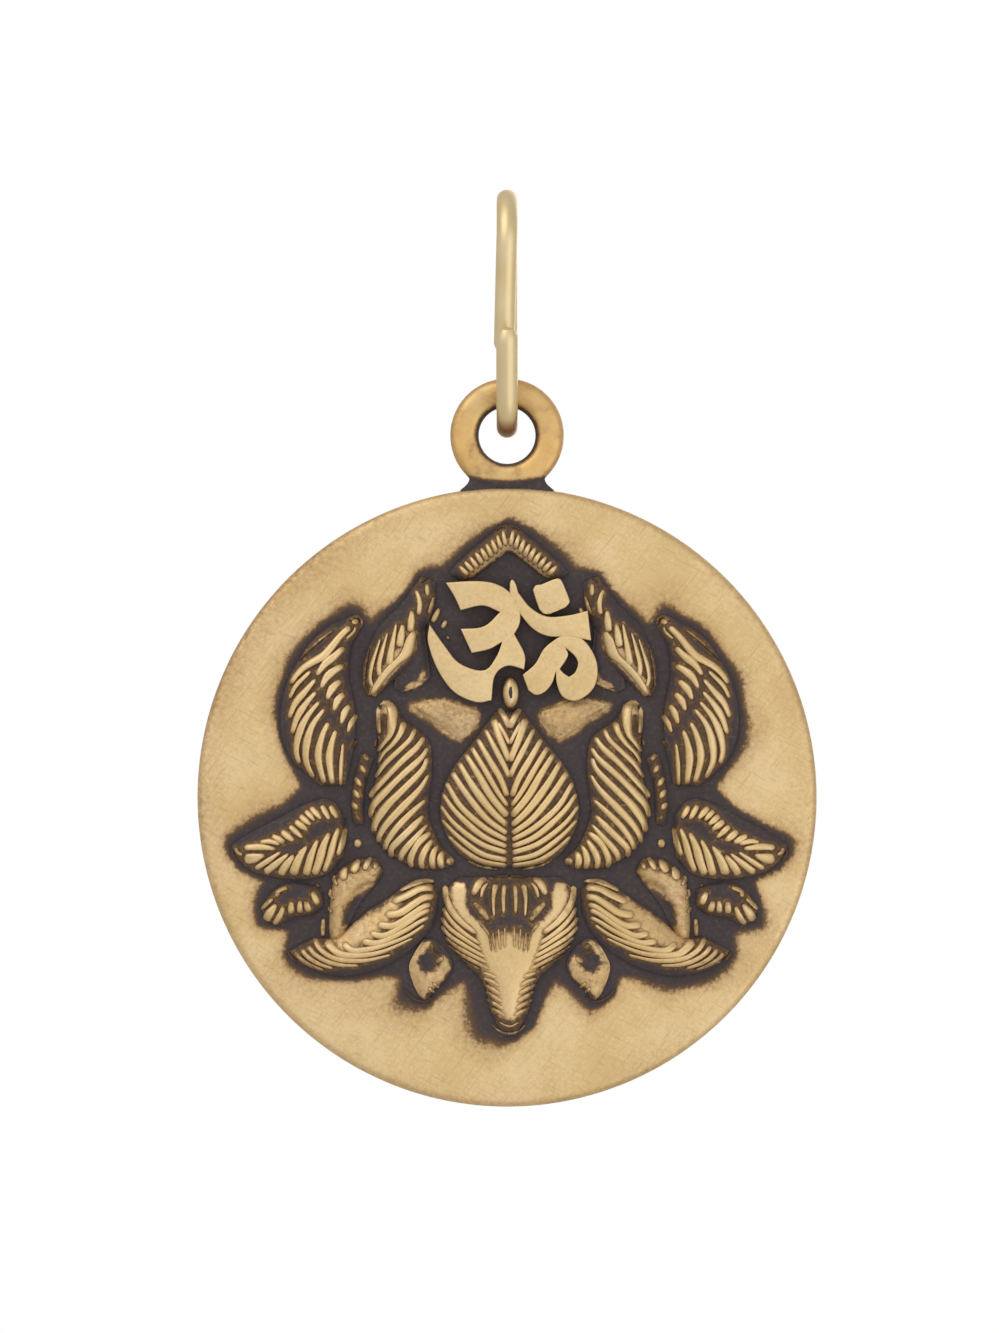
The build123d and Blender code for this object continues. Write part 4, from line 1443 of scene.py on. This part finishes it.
class CHARM_OT_bail(bpy.types.Operator):
    """Add the long open wire bail"""
    bl_idname = "charm.bail"
    bl_label = "Bail"

    def execute(self, context):
        line = bail_line()
        along = lengths_along(line)
        out = Vector((1, 0, 0))
        mesh = bmesh.new()
        rings = []
        for i, point in enumerate(line):
            ahead = (line[min(len(line) - 1, i + 1)] - line[max(0, i - 1)]).normalized()
            up = ahead.cross(out)
            front = point.y < -0.4 * MM
            lean = -UPPER_LEAN * (1 - i / END_STEPS) if front and i < END_STEPS else 0.0
            width = HOOK_WIDTH if front and i > len(line) - END_STEPS else WIRE
            # Both ends are rounded off.
            end = min(along[i], along[-1] - along[i])
            inset = END_ROUNDING - sqrt(END_ROUNDING ** 2 - max(0.0, END_ROUNDING - end) ** 2)
            # The ring stays a few thousandths inside the wire, so that no part stands past it.
            half_out = width / 2 - 0.003 * MM - inset
            half_up = WIRE / 2 - 0.004 * MM - inset
            ring = []
            for k in range(WIRE_POINTS):
                angle = 2 * pi * k / WIRE_POINTS
                spot = point + out * (cos(angle) * half_out + lean) + up * (sin(angle) * half_up)
                ring.append(mesh.verts.new(spot))
            rings.append(ring)
        skin(mesh, rings)
        wire = new_piece("bail_wire", mesh)
        finish_piece(wire, "bail", plated_wire(), 50.0)
        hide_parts("bail")
        return {"FINISHED"}


# Stage, light and camera

# Each lamp is a soft disc of light that is aimed at the charm: its place, width and watts.
Lamp = namedtuple("Lamp", "spot size power")
LAMPS = {
    "key": Lamp((-0.16, -0.22, 0.20), 0.34, 0.50),
    "fill": Lamp((0.18, -0.25, -0.10), 0.34, 0.28),
    "back": Lamp((0.08, 0.30, 0.03), 0.30, 0.36),
}
# The camera stands far in front, with a long lens on a frame 36 mm high.
CAMERA_SPOT = (-0.306 * MM, FRONT_Y - 298.6 * MM, -18.44 * MM)
CAMERA_LENS = 200.0
# The white background is full white to the camera, and this bright to the metal.
METAL_LIGHT = 0.71


class CHARM_OT_stage(bpy.types.Operator):
    """Add the white studio world, the soft lights and the camera"""
    bl_idname = "charm.stage"
    bl_label = "Stage"

    def execute(self, context):
        world = bpy.data.worlds.new("white_studio")
        context.scene.world = world
        world.use_nodes = True
        tree = world.node_tree
        seen = add(tree, "ShaderNodeLightPath").outputs["Is Camera Ray"]
        background = tree.nodes["Background"]
        background.inputs["Color"].default_value = grey(1.0)
        tree.links.new(scaled(tree, seen, 0.0, 1.0, METAL_LIGHT, 1.0), background.inputs["Strength"])

        for name, (spot, size, power) in LAMPS.items():
            lamp = bpy.data.lights.new(name, "AREA")
            lamp.shape = "DISK"
            lamp.size = size
            lamp.energy = power
            light = bpy.data.objects.new(name, lamp)
            context.collection.objects.link(light)
            light.location = spot
            aim = Vector((0, 0, DISC_Z)) - light.location
            light.rotation_euler = aim.to_track_quat("-Z", "Y").to_euler()

        lens = bpy.data.cameras.new("camera")
        lens.sensor_fit = "VERTICAL"
        lens.sensor_height = 36.0
        lens.lens = CAMERA_LENS
        lens.clip_start = 10 * MM
        lens.dof.use_dof = False
        camera = bpy.data.objects.new("camera", lens)
        context.collection.objects.link(camera)
        camera.location = CAMERA_SPOT
        camera.rotation_euler = (pi / 2, 0, 0)
        context.scene.camera = camera
        context.scene.view_settings.view_transform = "Standard"
        return {"FINISHED"}


class CHARM_PT_panel(bpy.types.Panel):
    """The charm's pieces"""
    bl_idname = "CHARM_PT_panel"
    bl_label = "Lotus Charm"
    bl_space_type = "VIEW_3D"
    bl_region_type = "UI"
    bl_category = "Charm"

    def draw(self, context):
        for group in (sizes(), colours()):
            for name in group.bl_rna.properties.keys():
                if name not in ("rna_type", "name"):
                    self.layout.prop(group, name)
        for operator in OPERATORS:
            self.layout.operator(operator.bl_idname)


OPERATORS = (
    CHARM_OT_petals,
    CHARM_OT_ridges,
    CHARM_OT_sign,
    CHARM_OT_disc,
    CHARM_OT_eyelet,
    CHARM_OT_bail,
    CHARM_OT_stage,
)
CLASSES = (CharmSizes, CharmColours, *OPERATORS, CHARM_PT_panel)


def register():
    for cls in CLASSES:
        bpy.utils.register_class(cls)
    bpy.types.Scene.charm_sizes = bpy.props.PointerProperty(type=CharmSizes)
    bpy.types.Scene.charm_colours = bpy.props.PointerProperty(type=CharmColours)


def unregister():
    del bpy.types.Scene.charm_colours
    del bpy.types.Scene.charm_sizes
    for cls in reversed(CLASSES):
        bpy.utils.unregister_class(cls)


def main():
    register()
    bpy.ops.charm.petals()
    bpy.ops.charm.ridges()
    bpy.ops.charm.sign()
    bpy.ops.charm.disc()
    bpy.ops.charm.eyelet()
    bpy.ops.charm.bail()
    bpy.ops.charm.stage()


if __name__ == "__main__":
    main()
